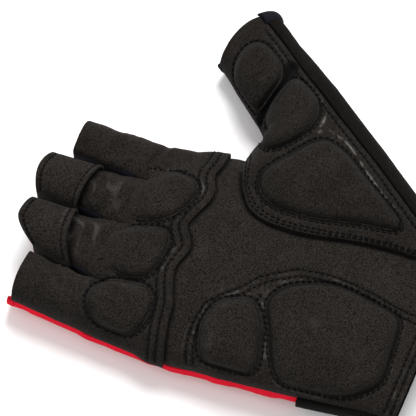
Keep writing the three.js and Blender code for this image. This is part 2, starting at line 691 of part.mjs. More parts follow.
function fingerHemBand(finger) {
  const rows = [hemPlace(finger, HEM_BAND), hemPlace(finger, 0)];
  const place = (local, share) => fingerBack(finger, local, share);
  return new Skin()
    .grid(archSteps(FINGER_COLUMNS), rows, place, bandLift)
    .turned()
    .cloth(HEM_THICKNESS);
}

function thumbHemBand() {
  const out = clothStations.at(-1);
  const stops = [
    ...archSteps(FINGER_COLUMNS, -1, inFrom(STRIP_UNDER, out)).map((across) => thumbBack(across, out)),
    ...[...STRIP_PLACES].reverse().slice(1).map((share) => sideStripPoint(share, out)),
  ];
  const place = (stop, past) => stop.clone().addScaledVector(forward, past);
  return new Skin()
    .grid(stops, [GAP, GAP + HEM_BAND], place, bandLift)
    .turned()
    .cloth(HEM_THICKNESS);
}

// Wrist strap round the back of the wrist, and its fastened end
function wristStrap() {
  const columns = archSteps(14, -1, STRAP_END);
  const rows = steps(4, 0, STRAP_WIDTH / PALM_LENGTH);
  const place = (across, along) => {
    const point = handBack(across, along);
    if (across <= -1) point.z += STRAP_LAP;
    return point;
  };
  return new Skin().grid(columns, rows, place, () => GAP + STRAP_THICKNESS).turned().cloth(STRAP_THICKNESS);
}

function strapClosure() {
  const half = handSection(STRAP_WIDTH / 2 / PALM_LENGTH).half;
  const columns = steps(5, CLOSURE_END - CLOSURE_LENGTH / half, CLOSURE_END);
  const margin = (STRAP_WIDTH - CLOSURE_WIDTH) / 2;
  const rows = steps(3, margin / PALM_LENGTH, (margin + CLOSURE_WIDTH) / PALM_LENGTH);
  const lift = 2 * (GAP + STRAP_THICKNESS);
  return new Skin().grid(columns, rows, handBack, () => lift).turned().cloth(STRAP_THICKNESS);
}

// Pads: a rounded outline on a skin, flat below and domed above
const PAD_PROFILE = [
  { inset: 0, rise: 0.3 },
  { inset: 0.08, rise: 0.78 },
  { inset: 0.24, rise: 0.97 },
  { inset: 0.55, rise: 1 },
];

function roundedOutline(corners, radius) {
  const points = corners.map(([x, y]) => new THREE.Vector2(x, y));
  const path = new THREE.Path();
  points.forEach((corner, i) => {
    const before = points.at(i - 1);
    const after = points[(i + 1) % points.length];
    const reach = (other) => Math.min(radius, corner.distanceTo(other) * CORNER_LIMIT);
    const enter = before.clone().sub(corner).setLength(reach(before)).add(corner);
    const leave = after.clone().sub(corner).setLength(reach(after)).add(corner);
    if (i === 0) path.moveTo(enter.x, enter.y);
    else path.lineTo(enter.x, enter.y);
    path.quadraticCurveTo(corner.x, corner.y, leave.x, leave.y);
  });
  path.closePath();
  return path.getSpacedPoints(PAD_SIDES).slice(0, PAD_SIDES);
}

function pad(corners, scale, skin, lift) {
  const flat = corners.map(([across, along]) => [across * scale.x, along * scale.y]);
  const outline = roundedOutline(flat, PAD_CORNER);
  if (THREE.ShapeUtils.area(outline) < 0) outline.reverse();
  const centre = outline.reduce((sum, point) => sum.add(point), new THREE.Vector2());
  centre.divideScalar(outline.length);
  const place = (point, height) => {
    const [u, v] = [point.x / scale.x, point.y / scale.y];
    return skin(u, v).addScaledVector(normalOf(skin, u, v), lift(u, v) + GAP + height);
  };
  const ring = (inset, height) => outline.map((point) => place(point.clone().lerp(centre, inset), height));
  const underside = [...PAD_PROFILE].reverse().map((level) => ring(level.inset, 0));
  const levels = [...underside, ...PAD_PROFILE.map((level) => ring(level.inset, level.rise * PAD_RISE))];
  const points = [...levels.flat(), place(centre, 0), place(centre, PAD_RISE)];
  const sides = outline.length;
  const [bottom, top] = [points.length - 2, points.length - 1];
  const triangles = [];
  for (let side = 0; side < sides; side++) {
    const next = (side + 1) % sides;
    levels.slice(1).forEach((_, level) => {
      const [a, b] = [level * sides + side, level * sides + next];
      triangles.push([a, b, b + sides], [a, b + sides, a + sides]);
    });
    triangles.push([bottom, next, side]);
    const last = (levels.length - 1) * sides;
    triangles.push([top, last + side, last + next]);
  }
  return solid(points, triangles);
}

function addPads() {
  const handScale = new THREE.Vector2(PALM_WIDTH / 2, PALM_LENGTH);
  for (const [name, corners] of Object.entries(HAND_PADS)) {
    const onKnuckles = corners[0][1] > WEB;
    add(name, pad(corners, handScale, handTop, onKnuckles ? knuckleLift : () => 0), padSuede);
  }
  for (const [name, corners] of Object.entries(THUMB_PADS)) {
    const middle = corners.reduce((sum, corner) => sum + corner[1], 0) / corners.length;
    const halfRow = thumbTop(1, middle).distanceTo(thumbTop(-1, middle)) / 2;
    add(name, pad(corners, new THREE.Vector2(halfRow, THUMB_REACH), thumbTop, () => GAP / 2), padSuede);
  }
}

const [little, ring, middle, index] = FINGERS;

add("palm_panel", palmPanel(), suede);
add("knuckle_panel", knucklePanel(), suede);
add("thumb_panel", thumbPanel(), suede);
add("thumb_side_strip", sideStrip(), suede);
add("tab_middle", pullTab(middle), suede);
add("tab_ring", pullTab(ring), suede);
addPads();
add("back_panel", backPanel(), redCloth);
add("thumb_back", thumbBackPanel(), navyCloth);
add("gusset_ring_little", gusset(little, ring), navyCloth);
add("gusset_middle_ring", gusset(ring, middle), navyCloth);
add("gusset_index_middle", gusset(middle, index), navyCloth);
for (const finger of FINGERS) add("hem_band_" + finger.name, fingerHemBand(finger), redCloth);
add("hem_band_thumb", thumbHemBand(), navyCloth);
add("wrist_strap", wristStrap(), strapCloth);
add("strap_closure", strapClosure(), strapCloth);

// The origin is under the middle of the whole mitt, on the floor
const bounds = new THREE.Box3().setFromObject(glove);
const centre = bounds.getCenter(new THREE.Vector3());
glove.position.set(-centre.x, -centre.y, -bounds.min.z);

export default glove;
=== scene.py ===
"""A padded half-finger cycling glove for the right hand, lying on its back with the palm up.

The suede palm is three overlapping panels with foam pads sewn on, the back is stretch cloth. Every
piece is modelled here as cloth on the same skins as its solid: the palm side and the back of the
hand, of each finger and of the thumb. Sizes are millimetres in the glove's plan: x across the hand
towards the thumb, y along it from the wrist hem towards the fingertips, z up out of the palm.
"""
from functools import partial

import bpy
import numpy as np
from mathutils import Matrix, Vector
from mathutils.bvhtree import BVHTree


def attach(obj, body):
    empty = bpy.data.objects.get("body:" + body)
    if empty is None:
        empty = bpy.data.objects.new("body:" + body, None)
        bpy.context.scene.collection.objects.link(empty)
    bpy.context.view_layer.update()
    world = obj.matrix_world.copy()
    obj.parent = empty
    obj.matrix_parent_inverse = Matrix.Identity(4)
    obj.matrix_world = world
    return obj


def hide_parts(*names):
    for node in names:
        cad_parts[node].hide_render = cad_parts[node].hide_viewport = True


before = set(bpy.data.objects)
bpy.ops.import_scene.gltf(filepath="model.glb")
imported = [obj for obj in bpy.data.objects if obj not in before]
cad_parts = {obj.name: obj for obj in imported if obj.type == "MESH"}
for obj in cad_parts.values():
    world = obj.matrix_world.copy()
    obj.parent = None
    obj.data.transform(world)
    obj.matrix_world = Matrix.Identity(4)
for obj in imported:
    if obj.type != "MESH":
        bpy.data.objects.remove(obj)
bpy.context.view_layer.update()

ORIGIN = np.array([35.483, 84.344, 0.0])  # the plan's place for the middle of the glove, on the floor


def table(names, *rows):
    """A small table, as one array for each named column."""
    return dict(zip(names.split(), np.array(rows, float).T))


# The glove's sizes
PALM_WIDTH = 84
PALM_LENGTH = 133
WRIST_WIDTH = 73
WRIST_SHIFT = 9.5
HAND_HEIGHT = 26
FINGER_WIDTH = 18
FINGER_HEIGHT = 20.5
FINGER_LIFT = 2
THUMB_REACH = 130.5
THUMB_WIDTH = 30
THUMB_HEIGHT = 24.5
THUMB_BULGE = 2.4
THUMB_ANGLE = np.radians(31)
THUMB_MID = 0.43
THUMB_RISE = 0.06

# Its cloth
SUEDE = 1.2
STRETCH = 1
GAP = 0.35
STRIP_GAP = 0.7
UNDERLAP = 4.5
UNDERLAP_LIMIT = 0.86
LAP_FLAT = 1
LAP_FALL = 8
WEB_TURN = 0.012
SLIT = 1.8
SLIT_DIP = 3
SLIT_OPEN = 0.2  # the share of a finger's length over which its slit opens
GUSSET_HEIGHT = 11
GUSSET_LEVEL = 0.55
DIP_LENGTH = 0.6
STRIP_WIDTH = 8.5
STRIP_TIP = 0.6
STRIP_TAPER = 0.72
STRIP_UNDER = 4.5
STRIP_RISE = 0.7
PAD_RISE = 3.2
PAD_CORNER = 5
TAB_LENGTH = 20.5
TAB_CLEARANCE = 0.8
TAB_SKIRT = 9
HEM_BAND = 2.6
HEM_THICKNESS = 1.8
THUMB_HEM_SETBACK = 1.8
THUMB_HEM_BOW = 2.5
BOW_START = 0.85
BACK_SETBACK = 4
STRAP_WIDTH = 38
STRAP_THICKNESS = 1.5
STRAP_LAP = 1.5
STRAP_END = 0.68
CLOSURE_END = 0.58
CLOSURE_LENGTH = 30
CLOSURE_WIDTH = 24
PALM_HOLLOW = 1.2
KNUCKLE_BLEND = 13
STRAP_RAMP = 18
FLOOR_PRESS = 0.9
GUSSET_MID = FINGER_HEIGHT * GUSSET_LEVEL
LAP_LIFT = GAP + SUEDE
BACK_FLOOR = 2 * (STRAP_THICKNESS + GAP)

# How square a section is: 2 is an ellipse
PALM_SQUARE = 2.6
BACK_SQUARE = 3
FINGER_SQUARE = 2.1

# The hand's sections, as shares of PALM_LENGTH, of the widths and of HAND_HEIGHT
HAND = table(
    "along grow shift top ulnar radial bulge",
    (0.0, 0.0, 1.0, 0.88, 0.56, 0.44, 0.0),
    (0.15, 0.35, 0.86, 0.93, 0.55, 0.42, 0.04),
    (0.34, 0.76, 0.69, 0.99, 0.46, 0.4, 0.07),
    (0.57, 1.28, 0.49, 1.0, 0.4, 0.4, 0.06),
    (0.7, 1.68, 0.45, 0.99, 0.38, 0.4, 0.05),
    (0.86, 1.38, 0.18, 0.94, 0.38, 0.4, 0.05),
    (1.0, 1.0, 0.0, 0.86, 0.4, 0.4, 0.05),
)
CROTCHES = table("across along", (-1.0, 0.995), (-0.54, 0.97), (0.04, 1.017), (0.552, 0.983), (1.0, 1.0))
LITTLE, RING, MIDDLE, INDEX = range(4)
FINGER_NAMES = ("little", "ring", "middle", "index")
FINGERS = table(
    "reach tip width ulnar_drop radial_drop setback edge",
    (24.5, -0.748, 1.17, 0.05, 0.0, -0.1, 0.58),
    (34.5, -0.24, 0.97, 0.55, 0.08, 0.28, 0.5),
    (36.0, 0.262, 0.94, 0.15, 0.12, 0.28, 0.5),
    (27.5, 0.752, 0.99, 0.0, 0.0, 0.0, 0.45),
)
KNUCKLE_LAP = table(
    "across along",
    (-1.0, 0.69), (-0.77, 0.721), (-0.56, 0.743), (-0.37, 0.762), (-0.24, 0.764),
    (-0.05, 0.738), (0.04, 0.746), (0.15, 0.774), (0.3, 0.77), (0.43, 0.761),
    (0.55, 0.766), (0.7, 0.784), (0.82, 0.773), (1.0, 0.77),
)
THENAR = table(
    "out across along back top",
    (0.0, 0.74, 0.0, 0.74, 0.97),
    (0.11, 0.7, 0.14, 0.74, 1.03),
    (0.2, 0.65, 0.25, 0.74, 1.07),
    (0.29, 0.585, 0.33, 0.74, 1.1),
    (0.37, 0.52, 0.405, 0.74, 1.12),
    (0.44, 0.465, 0.49, 0.75, 1.13),
    (0.495, 0.45, 0.575, 0.77, 1.13),
    (0.54, 0.49, 0.643, 0.81, 1.12),
    (0.575, 0.63, 0.688, 0.87, 1.1),
    (0.6, 0.81, 0.711, 0.94, 1.08),
    (0.625, 1.0, 0.72, 1.0, 1.06),
)
TUBE = table(
    "out width setback top",
    (0.665, 1.28, 0.005, 1.03),
    (0.7, 1.19, 0.005, 1.01),
    (0.77, 1.14, 0.008, 0.98),
    (0.85, 1.1, 0.015, 0.96),
    (0.93, 1.04, 0.024, 0.94),
    (1.0, 0.99, 0.033, 0.92),
)
WEB = THENAR["along"][-1]
CROTCH_OUT = THENAR["out"][-1]

# The corners of the pads' outlines: across and along the hand, or across the thumb and out along it
HAND_PADS = {
    "pad_index": (
        (0.07, 0.95), (0.3, 0.982), (0.6, 0.98), (0.68, 0.93), (0.68, 0.86),
        (0.58, 0.813), (0.42, 0.798), (0.2, 0.82), (0.12, 0.865),
    ),
    "pad_ring": (
        (-0.45, 0.955), (-0.36, 0.99), (-0.1, 0.982), (0.01, 0.94), (0.1, 0.84),
        (0.06, 0.8), (-0.14, 0.796), (-0.38, 0.825), (-0.45, 0.88),
    ),
    "pad_little": (
        (-0.93, 0.93), (-0.8, 0.985), (-0.6, 0.99), (-0.5, 0.96),
        (-0.44, 0.83), (-0.56, 0.798), (-0.76, 0.78), (-0.92, 0.8),
    ),
    "pad_heel_small": (
        (-0.94, 0.6), (-0.6, 0.65), (-0.38, 0.62),
        (-0.25, 0.52), (-0.4, 0.477), (-0.95, 0.415),
    ),
    "pad_heel_large": (
        (-0.75, 0.41), (-0.25, 0.485), (-0.05, 0.44), (0.12, 0.32), (0.12, 0.25),
        (0.04, 0.09), (-0.75, 0.07), (-0.95, 0.15), (-0.96, 0.36),
    ),
}
THUMB_PADS = {
    "pad_thumb_tip": (
        (-0.97, 0.935), (-0.3, 0.948), (0.2, 0.925), (0.2, 0.83),
        (-0.06, 0.775), (-0.5, 0.76), (-0.97, 0.737),
    ),
    "pad_thumb_middle": (
        (-0.97, 0.722), (-0.5, 0.745), (-0.1, 0.762), (0.3, 0.768), (0.37, 0.67),
        (0.47, 0.61), (0.2, 0.583), (-0.55, 0.598), (-0.8, 0.625),
    ),
    "pad_thumb_base": (
        (-0.82, 0.583), (-0.1, 0.573), (0.38, 0.558), (0.46, 0.49),
        (0.1, 0.26), (-0.1, 0.19), (-0.48, 0.18), (-0.74, 0.42),
    ),
}

# Seams on the palm side, as shares like the pads'
HEEL_SEAM = (
    (-0.98, 0.625), (-0.84, 0.647), (-0.64, 0.661), (-0.47, 0.655), (-0.34, 0.614),
    (-0.21, 0.565), (-0.07, 0.523), (0.05, 0.468), (0.14, 0.42), (0.18, 0.35),
    (0.19, 0.285), (0.17, 0.2), (0.12, 0.125), (0.1, 0.065), (0.1, 0.02),
)
DART = ((0.68, 0.985), (0.67, 0.948), (0.68, 0.903), (0.71, 0.862))
THUMB_CREASE = ((-0.98, 0.73), (-0.5, 0.7525), (-0.08, 0.7685), (0.15, 0.785), (0.32, 0.8))
# Thin raised ridges beside the thumb's pads, with a painted highlight along them
RIDGE_HIGHLIGHTS = (
    ((0.36, 0.7), (0.42, 0.668), (0.5, 0.635), (0.53, 0.608), (0.46, 0.592), (0.36, 0.582)),
    (
        (0.3, 0.573), (0.44, 0.566), (0.52, 0.535), (0.54, 0.495),
        (0.46, 0.44), (0.33, 0.37), (0.2, 0.29), (0.13, 0.235),
    ),
)
INDEX_FOLD = ((0.99, 0.95), (0.85, 0.962), (0.7, 0.982))
BAR_TACK = ((-0.29, 0.508), (-0.2, 0.498))

# How far in from the edges the rows of stitches run, and how far apart the stitches are
LAP_ROWS = (3.1, 6.3)
THUMB_LAP_ROWS = (2.8, 5.6)
HEEL_ROWS = (0, 2.8)
WRIST_ROWS = (2.2, 4.8)
TAB_ROWS = (2.0, TAB_LENGTH - 2.2)
STRIP_ROW = 3.2
PAD_ROW = 0.7  # outside a pad's edge
TACK_ROWS = (-0.35, 0, 0.35)
PITCH = 2.4
FINE_PITCH = 2.0


# Arithmetic on arrays


def lerp(a, b, share):
    return a + (b - a) * share


def smoothstep(x, low, high):
    t = np.clip((x - low) / (high - low), 0, 1)
    return t * t * (3 - 2 * t)


def bell(distance, width):
    return np.exp(-((distance / width) ** 2))


def from_left(across):
    """0 at the left side of a section and 1 at its right side."""
    return (across + 1) / 2


def stack(*columns):
    return np.stack(np.broadcast_arrays(*columns), axis=-1).astype(float)


def heights(lift, u, v):
    """A lift may be one height or a function of the place."""
    return np.broadcast_to(lift(u, v) if callable(lift) else lift, u.shape)


def unit(vectors):
    length = np.linalg.norm(vectors, axis=-1, keepdims=True)
    return vectors / np.where(length == 0, 1, length)


def read(rows, key, column, at):
    """One column of a table at places between its rows, on a smooth curve through them."""
    x, y = rows[key], rows[column]
    last = len(x) - 1
    at = np.asarray(at, float)
    i = np.clip(np.searchsorted(x, at, "right") - 1, 0, last - 1)
    t = np.clip((at - x[i]) / (x[i + 1] - x[i]), 0, 1)
    span = x[i + 1] - x[i]
    before, after = np.maximum(i - 1, 0), np.minimum(i + 2, last)
    leaving, entering = span / (x[i + 1] - x[before]), span / (x[after] - x[i])
    if y.ndim > 1:
        t, leaving, entering = t[..., None], leaving[..., None], entering[..., None]
    leaving = (y[i + 1] - y[before]) * leaving
    entering = (y[after] - y[i]) * entering
    rise = y[i + 1] - y[i]
    square, cube = 3 * rise - 2 * leaving - entering, leaving + entering - 2 * rise
    return y[i] + t * (leaving + t * (square + t * cube))


def arch(count, start=-1.0, end=1.0):
    """Places from one side of a rounded section to the other, closer together where it turns down."""
    return np.clip(-np.cos(np.linspace(np.arccos(-start), np.arccos(-end), count + 1)), -1, 1)


# The skins of the hand and the fingers


def bow(across, square):
    """The height of a rounded section, 1 in the middle and 0 at its two sides."""
    return np.maximum(0, 1 - np.abs(across) ** square) ** (1 / square)


def belly(across, square, bulge):
    return np.where(across < 0, bulge * np.sin(np.pi * bow(across, square)), 0)


def crotches(finger):
    return CROTCHES["across"][finger], CROTCHES["across"][finger + 1]


def crotch_line(across):
    return PALM_LENGTH * np.interp(across, CROTCHES["across"], CROTCHES["along"])


def hand_section(along):
    def column(name):
        return read(HAND, "along", name, along)

    past = smoothstep(np.asarray(along) * PALM_LENGTH, STRAP_WIDTH, STRAP_WIDTH + STRAP_RAMP)
    section = {name: HAND_HEIGHT * column(name) for name in ("top", "ulnar", "radial", "bulge")}
    section["middle"] = WRIST_SHIFT * column("shift")
    section["half"] = lerp(WRIST_WIDTH, PALM_WIDTH, column("grow")) / 2
    section["floor"] = BACK_FLOOR * (1 - past)
    return section


ROOT = hand_section(1.0)


def finger_section(finger, share):
    """The fingers' sections at shares of their lengths."""
    low, high = np.array(crotches(finger)) * PALM_WIDTH / 2
    opened = SLIT / 2 * smoothstep(share, 0, SLIT_OPEN)
    hem_half = FINGER_WIDTH * FINGERS["width"][finger] / 2
    hem_middle = FINGERS["tip"][finger] * PALM_WIDTH / 2
    is_little, is_index = finger == LITTLE, finger == INDEX
    hem_edge = FINGER_HEIGHT * FINGERS["edge"][finger]
    ulnar, radial = lerp(ROOT["ulnar"], hem_edge, share), lerp(ROOT["radial"], hem_edge, share)
    dip = smoothstep(share, 0, DIP_LENGTH)
    suede = lerp(ROOT["top"] - SLIT_DIP, GUSSET_MID + GUSSET_HEIGHT / 2, dip)
    cloth = GUSSET_MID - GUSSET_HEIGHT / 2
    return {
        "left": lerp(low, hem_middle - hem_half, share) + np.where(is_little, 0, opened),
        "right": lerp(high, hem_middle + hem_half, share) - np.where(is_index, 0, opened),
        "top": lerp(ROOT["top"], FINGER_HEIGHT + FINGER_LIFT / 2, share),
        "bottom": FINGER_LIFT * share,
        "suede": (np.where(is_little, ulnar, suede), np.where(is_index, radial, suede)),
        "cloth": (np.where(is_little, ulnar - GAP, cloth), np.where(is_index, radial - GAP, cloth)),
    }


def lobe(section, local, edges, peak):
    edge = lerp(*section[edges], from_left(local))
    return lerp(edge, section[peak], bow(local, FINGER_SQUARE))


def finger_at(across):
    """The finger that a place across the hand runs into, and the place across that finger."""
    finger = np.clip(np.searchsorted(CROTCHES["across"], across, "right") - 1, 0, INDEX)
    low, high = crotches(finger)
    return finger, 2 * (across - low) / (high - low) - 1


def finger_belly(finger, local):
    return np.where(finger == LITTLE, belly(local, FINGER_SQUARE, ROOT["bulge"]), 0)


def knuckle_share(along):
    return smoothstep(along * PALM_LENGTH, PALM_LENGTH - KNUCKLE_BLEND, PALM_LENGTH)


def hand_top(across, along):
    across, along = np.broadcast_arrays(across, along)
    section = hand_section(along)
    edge = np.where(across < 0, section["ulnar"], section["radial"])
    hollow = PALM_HOLLOW * (1 - across**2) ** 2 * np.sin(np.pi * np.clip(along, 0, 1))
    palm = lerp(edge, section["top"], bow(across, PALM_SQUARE)) - hollow
    finger, local = finger_at(across)
    height = lerp(palm, lobe(finger_section(finger, 0.0), local, "suede", "top"), knuckle_share(along))
    return stack(section["middle"] + section["half"] * across, along * crotch_line(across), height)


def hand_back(across, along):
    across, along = np.broadcast_arrays(across, along)
    section = hand_section(along)
    edge = np.where(across < 0, section["ulnar"], section["radial"]) - GAP
    curve = bow(across, BACK_SQUARE)
    palm = np.maximum(section["floor"], lerp(edge, section["floor"], curve) - FLOOR_PRESS * curve)
    finger, local = finger_at(across)
    knuckle = knuckle_share(along)
    height = lerp(palm, lobe(finger_section(finger, 0.0), local, "cloth", "bottom"), knuckle)
    out = lerp(belly(across, BACK_SQUARE, section["bulge"]), finger_belly(finger, local), knuckle)
    return stack(section["middle"] + section["half"] * across - out, along * crotch_line(across), height)


def on_finger(finger, local, share, edges, peak):
    section = finger_section(finger, share)
    low, high = crotches(finger)
    drop = np.where(local < 0, FINGERS["ulnar_drop"][finger], FINGERS["radial_drop"][finger])
    hem = PALM_LENGTH + FINGERS["reach"][finger] - FINGER_WIDTH * drop * local**2
    y = lerp(crotch_line(lerp(low, high, from_left(local))), hem, share)
    x = lerp(section["left"], section["right"], from_left(local))
    return stack(x, y, lobe(section, local, edges, peak))


def finger_top(finger, local, share):
    return on_finger(finger, local, share, "suede", "top")


def finger_back(finger, local, share):
    point = on_finger(finger, local, share, "cloth", "bottom")
    point[..., 0] -= finger_belly(finger, local)
    return point


def normal_of(skin, u, v, step=1e-3):
    along_u = skin(np.minimum(u + step, 1), v) - skin(np.maximum(u - step, -1), v)
    along_v = skin(u, np.minimum(v + step, 1)) - skin(u, np.maximum(v - step, 0))
    return unit(np.cross(along_u, along_v))


# The skins of the thumb

CUBIC_PEAK = 4 / 27  # the highest value of x * x * (1 - x)
OUTWARD = np.array([np.cos(THUMB_ANGLE), -np.sin(THUMB_ANGLE), 0])
FORWARD = np.array([np.sin(THUMB_ANGLE), np.cos(THUMB_ANGLE), 0])


def thumb_rows():
    """The two ends of each of the thumb's rows, on the palm side and on the back, and its height."""
    out = np.concatenate([THENAR["out"], TUBE["out"]])
    corner = np.array([WRIST_SHIFT + WRIST_WIDTH / 2, 0, THUMB_HEIGHT * THUMB_MID])
    bulge = THUMB_BULGE * out**2 * (1 - out) / CUBIC_PEAK
    outer = corner + THUMB_REACH * out[:, None] * FORWARD + bulge[:, None] * OUTWARD
    lap = hand_top(THENAR["across"], THENAR["along"])
    lap += normal_of(hand_top, THENAR["across"], THENAR["along"]) * (LAP_LIFT + GAP / 2)
    join = hand_back(THENAR["back"], THENAR["along"]) + GAP * OUTWARD
    inner = outer[len(lap) :] - THUMB_REACH * TUBE["setback"][:, None] * FORWARD
    inner = inner - THUMB_WIDTH * TUBE["width"][:, None] * OUTWARD
    wrist = hand_section(np.concatenate([THENAR["along"], np.ones(len(inner))]))["floor"]
    past = smoothstep(out, CROTCH_OUT, 1)
    return {
        "out": out,
        "outer": outer,
        "lap": np.concatenate([lap, inner]),
        "join": np.concatenate([join, inner - [0, 0, GAP]]),
        "top": THUMB_HEIGHT * np.concatenate([THENAR["top"], TUBE["top"]]),
        "floor": wrist + THUMB_HEIGHT * THUMB_RISE * past,
    }


THUMB = thumb_rows()


def thumb_point(across, out, inner_name, peak):
    across, out = np.broadcast_arrays(across, out)
    inner, outer = read(THUMB, "out", inner_name, out), read(THUMB, "out", "outer", out)
    point = lerp(inner, outer, from_left(across)[..., None])
    side = np.where(across < 0, inner[..., 2], outer[..., 2])
    point[..., 2] = lerp(side, read(THUMB, "out", peak, out), bow(across, FINGER_SQUARE))
    return point


def thumb_top(across, out):
    bowed = THUMB_HEM_BOW * (1 - np.square(across)) * smoothstep(out, BOW_START, 1)
    return thumb_point(across, out, "lap", "top") + bowed[..., None] * FORWARD


def thumb_back(across, out):
    return thumb_point(across, out, "join", "floor")


def in_from(distance, out):
    """The place across the thumb's row at a distance in from the outer side."""
    row = (thumb_top(1.0, out) - thumb_top(-1.0, out))[..., :2]
    return 1 - 2 * distance / np.linalg.norm(row, axis=-1)


def strip_top(out):
    return STRIP_WIDTH * lerp(1, STRIP_TIP, smoothstep(out, STRIP_TAPER, 1))


# Lines on the skins, and the relief that they press into the cloth


def smooth(places, closed=False, steps=12):
    """A smooth curve through places."""
    places = np.array(places, float)
    if closed:
        places = np.concatenate([places[-1:], places, places[:2]])
    else:
        places = np.concatenate([2 * places[:1] - places[1:2], places, 2 * places[-1:] - places[-2:-1]])
    t = np.linspace(0, 1, steps, endpoint=False)[:, None]
    curve = []
    for a, b, c, d in zip(places, places[1:], places[2:], places[3:]):
        square, cube = 2 * a - 5 * b + 4 * c - d, 3 * (b - c) + d - a
        curve.append(b + t / 2 * (c - a + t * (square + t * cube)))
    if not closed:
        curve.append(places[-2:-1])
    return np.concatenate(curve)


def even(points, pitch, closed=False):
    """The same line with its points a pitch apart."""
    if closed:
        points = np.concatenate([points, points[:1]])
    run = np.concatenate([[0], np.cumsum(np.linalg.norm(np.diff(points, axis=0), axis=1))])
    count = max(2, round(run[-1] / pitch) + 1)
    at = np.linspace(0, run[-1], count)[: -1 if closed else None]
    return np.stack([np.interp(at, run, column) for column in points.T], axis=1)


def tangents(points, closed=False):
    if closed:
        return unit(np.roll(points, -1, axis=0) - np.roll(points, 1, axis=0))
    return unit(np.gradient(points, axis=0))


LINE_STEP = 0.4
AT_ONCE = 3000  # how many points are measured against a line at once
LATTICE = 24  # after this many lumps the noise repeats


class Line:
    """A line on a skin, as evenly spaced points with the skin's normals."""

    def __init__(self, skin, places, lift=0.0, closed=False, aside=0.0):
        places = np.asarray(places, float)
        u, v = places.T
        normals = normal_of(skin, u, v)
        points = skin(u, v) + normals * heights(lift, u, v)[:, None]
        if aside:
            points = points + np.cross(normals, tangents(points, closed)) * aside
        joined = even(np.concatenate([points, normals], axis=1), LINE_STEP, closed)
        self.points, self.normals, self.closed = joined[:, :3], unit(joined[:, 3:]), closed

    def measure(self, points, reach=9.0):
        """How far each point is from the line, up to a reach, and how far along the line."""
        low, high = self.points.min(0) - reach, self.points.max(0) + reach
        close = np.flatnonzero(((points > low) & (points < high)).all(1))
        found, run = np.full(len(points), reach), np.zeros(len(points))
        for part in np.array_split(close, len(close) // AT_ONCE + 1):
            if len(part):
                gaps = ((points[part, None] - self.points) ** 2).sum(2)
                nearest = gaps.argmin(1)
                found[part] = np.minimum(np.sqrt(gaps[np.arange(len(part)), nearest]), reach)
                run[part] = nearest * LINE_STEP
        return found, run

    def distance(self, points, reach=9.0):
        return self.measure(points, reach)[0]


def noise(points, size, seed):
    """Smooth noise between -1 and 1 whose lumps have a size, which may differ by direction."""
    lattice = np.random.default_rng(seed).uniform(-1, 1, (LATTICE, LATTICE, LATTICE))
    place = points / size + seed * 1.37  # so that no two seeds have their lattice planes in one place
    cell = np.floor(place).astype(int)
    t = smoothstep(place - cell, 0, 1)
    total = 0
    for corner in np.ndindex(2, 2, 2):
        share = np.prod(np.where(corner, t, 1 - t), axis=-1)
        total = total + share * lattice[tuple(((cell + corner) % LATTICE).T)]
    return total


# Cloth


def to_row(points):
    return (np.asarray(points) - ORIGIN) / 1000


def to_plan(points):
    return np.asarray(points) * 1000 + ORIGIN


def linked(name, data):
    """A new object in the scene."""
    made = bpy.data.objects.new(name, data)
    bpy.context.scene.collection.objects.link(made)
    return made


def mesh_object(name, points, faces, finish, tone):
    """A smooth mesh that lies on or above the floor. finish is a material with its slot, and tone is
    how pale (1) or how dark (-1) the cloth is painted at a point: mostly painted highlights and
    painted shade, with some random paler and darker patches."""
    material, slot = finish
    mesh = bpy.data.meshes.new(name)
    points = np.maximum(points, [-np.inf, -np.inf, 0])
    mesh.from_pydata(to_row(points).tolist(), [], faces)
    mesh.shade_smooth()
    mesh.attributes.new("tone", "FLOAT", "POINT").data.foreach_set("value", tone.astype(np.float32))
    mesh.materials.append(material)
    made = linked(name, mesh)
    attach(made, "root")
    return made


RIM_TURNS = np.radians([45, 90, 135])  # the steps of a rounded edge
RIM_SHADE = 0.6  # how dark the cut edges are painted: painted shade for the shadow line under a panel's edge
# The thumb's and the knuckles' suede are painted darker than the palm's, as painted shade where the
# light falls off
THUMB_PAINTED_SHADE = 0.22  # painted shade: how much darker the thumb's suede is painted than the palm's
KNUCKLES_PAINTED_SHADE = 0.15


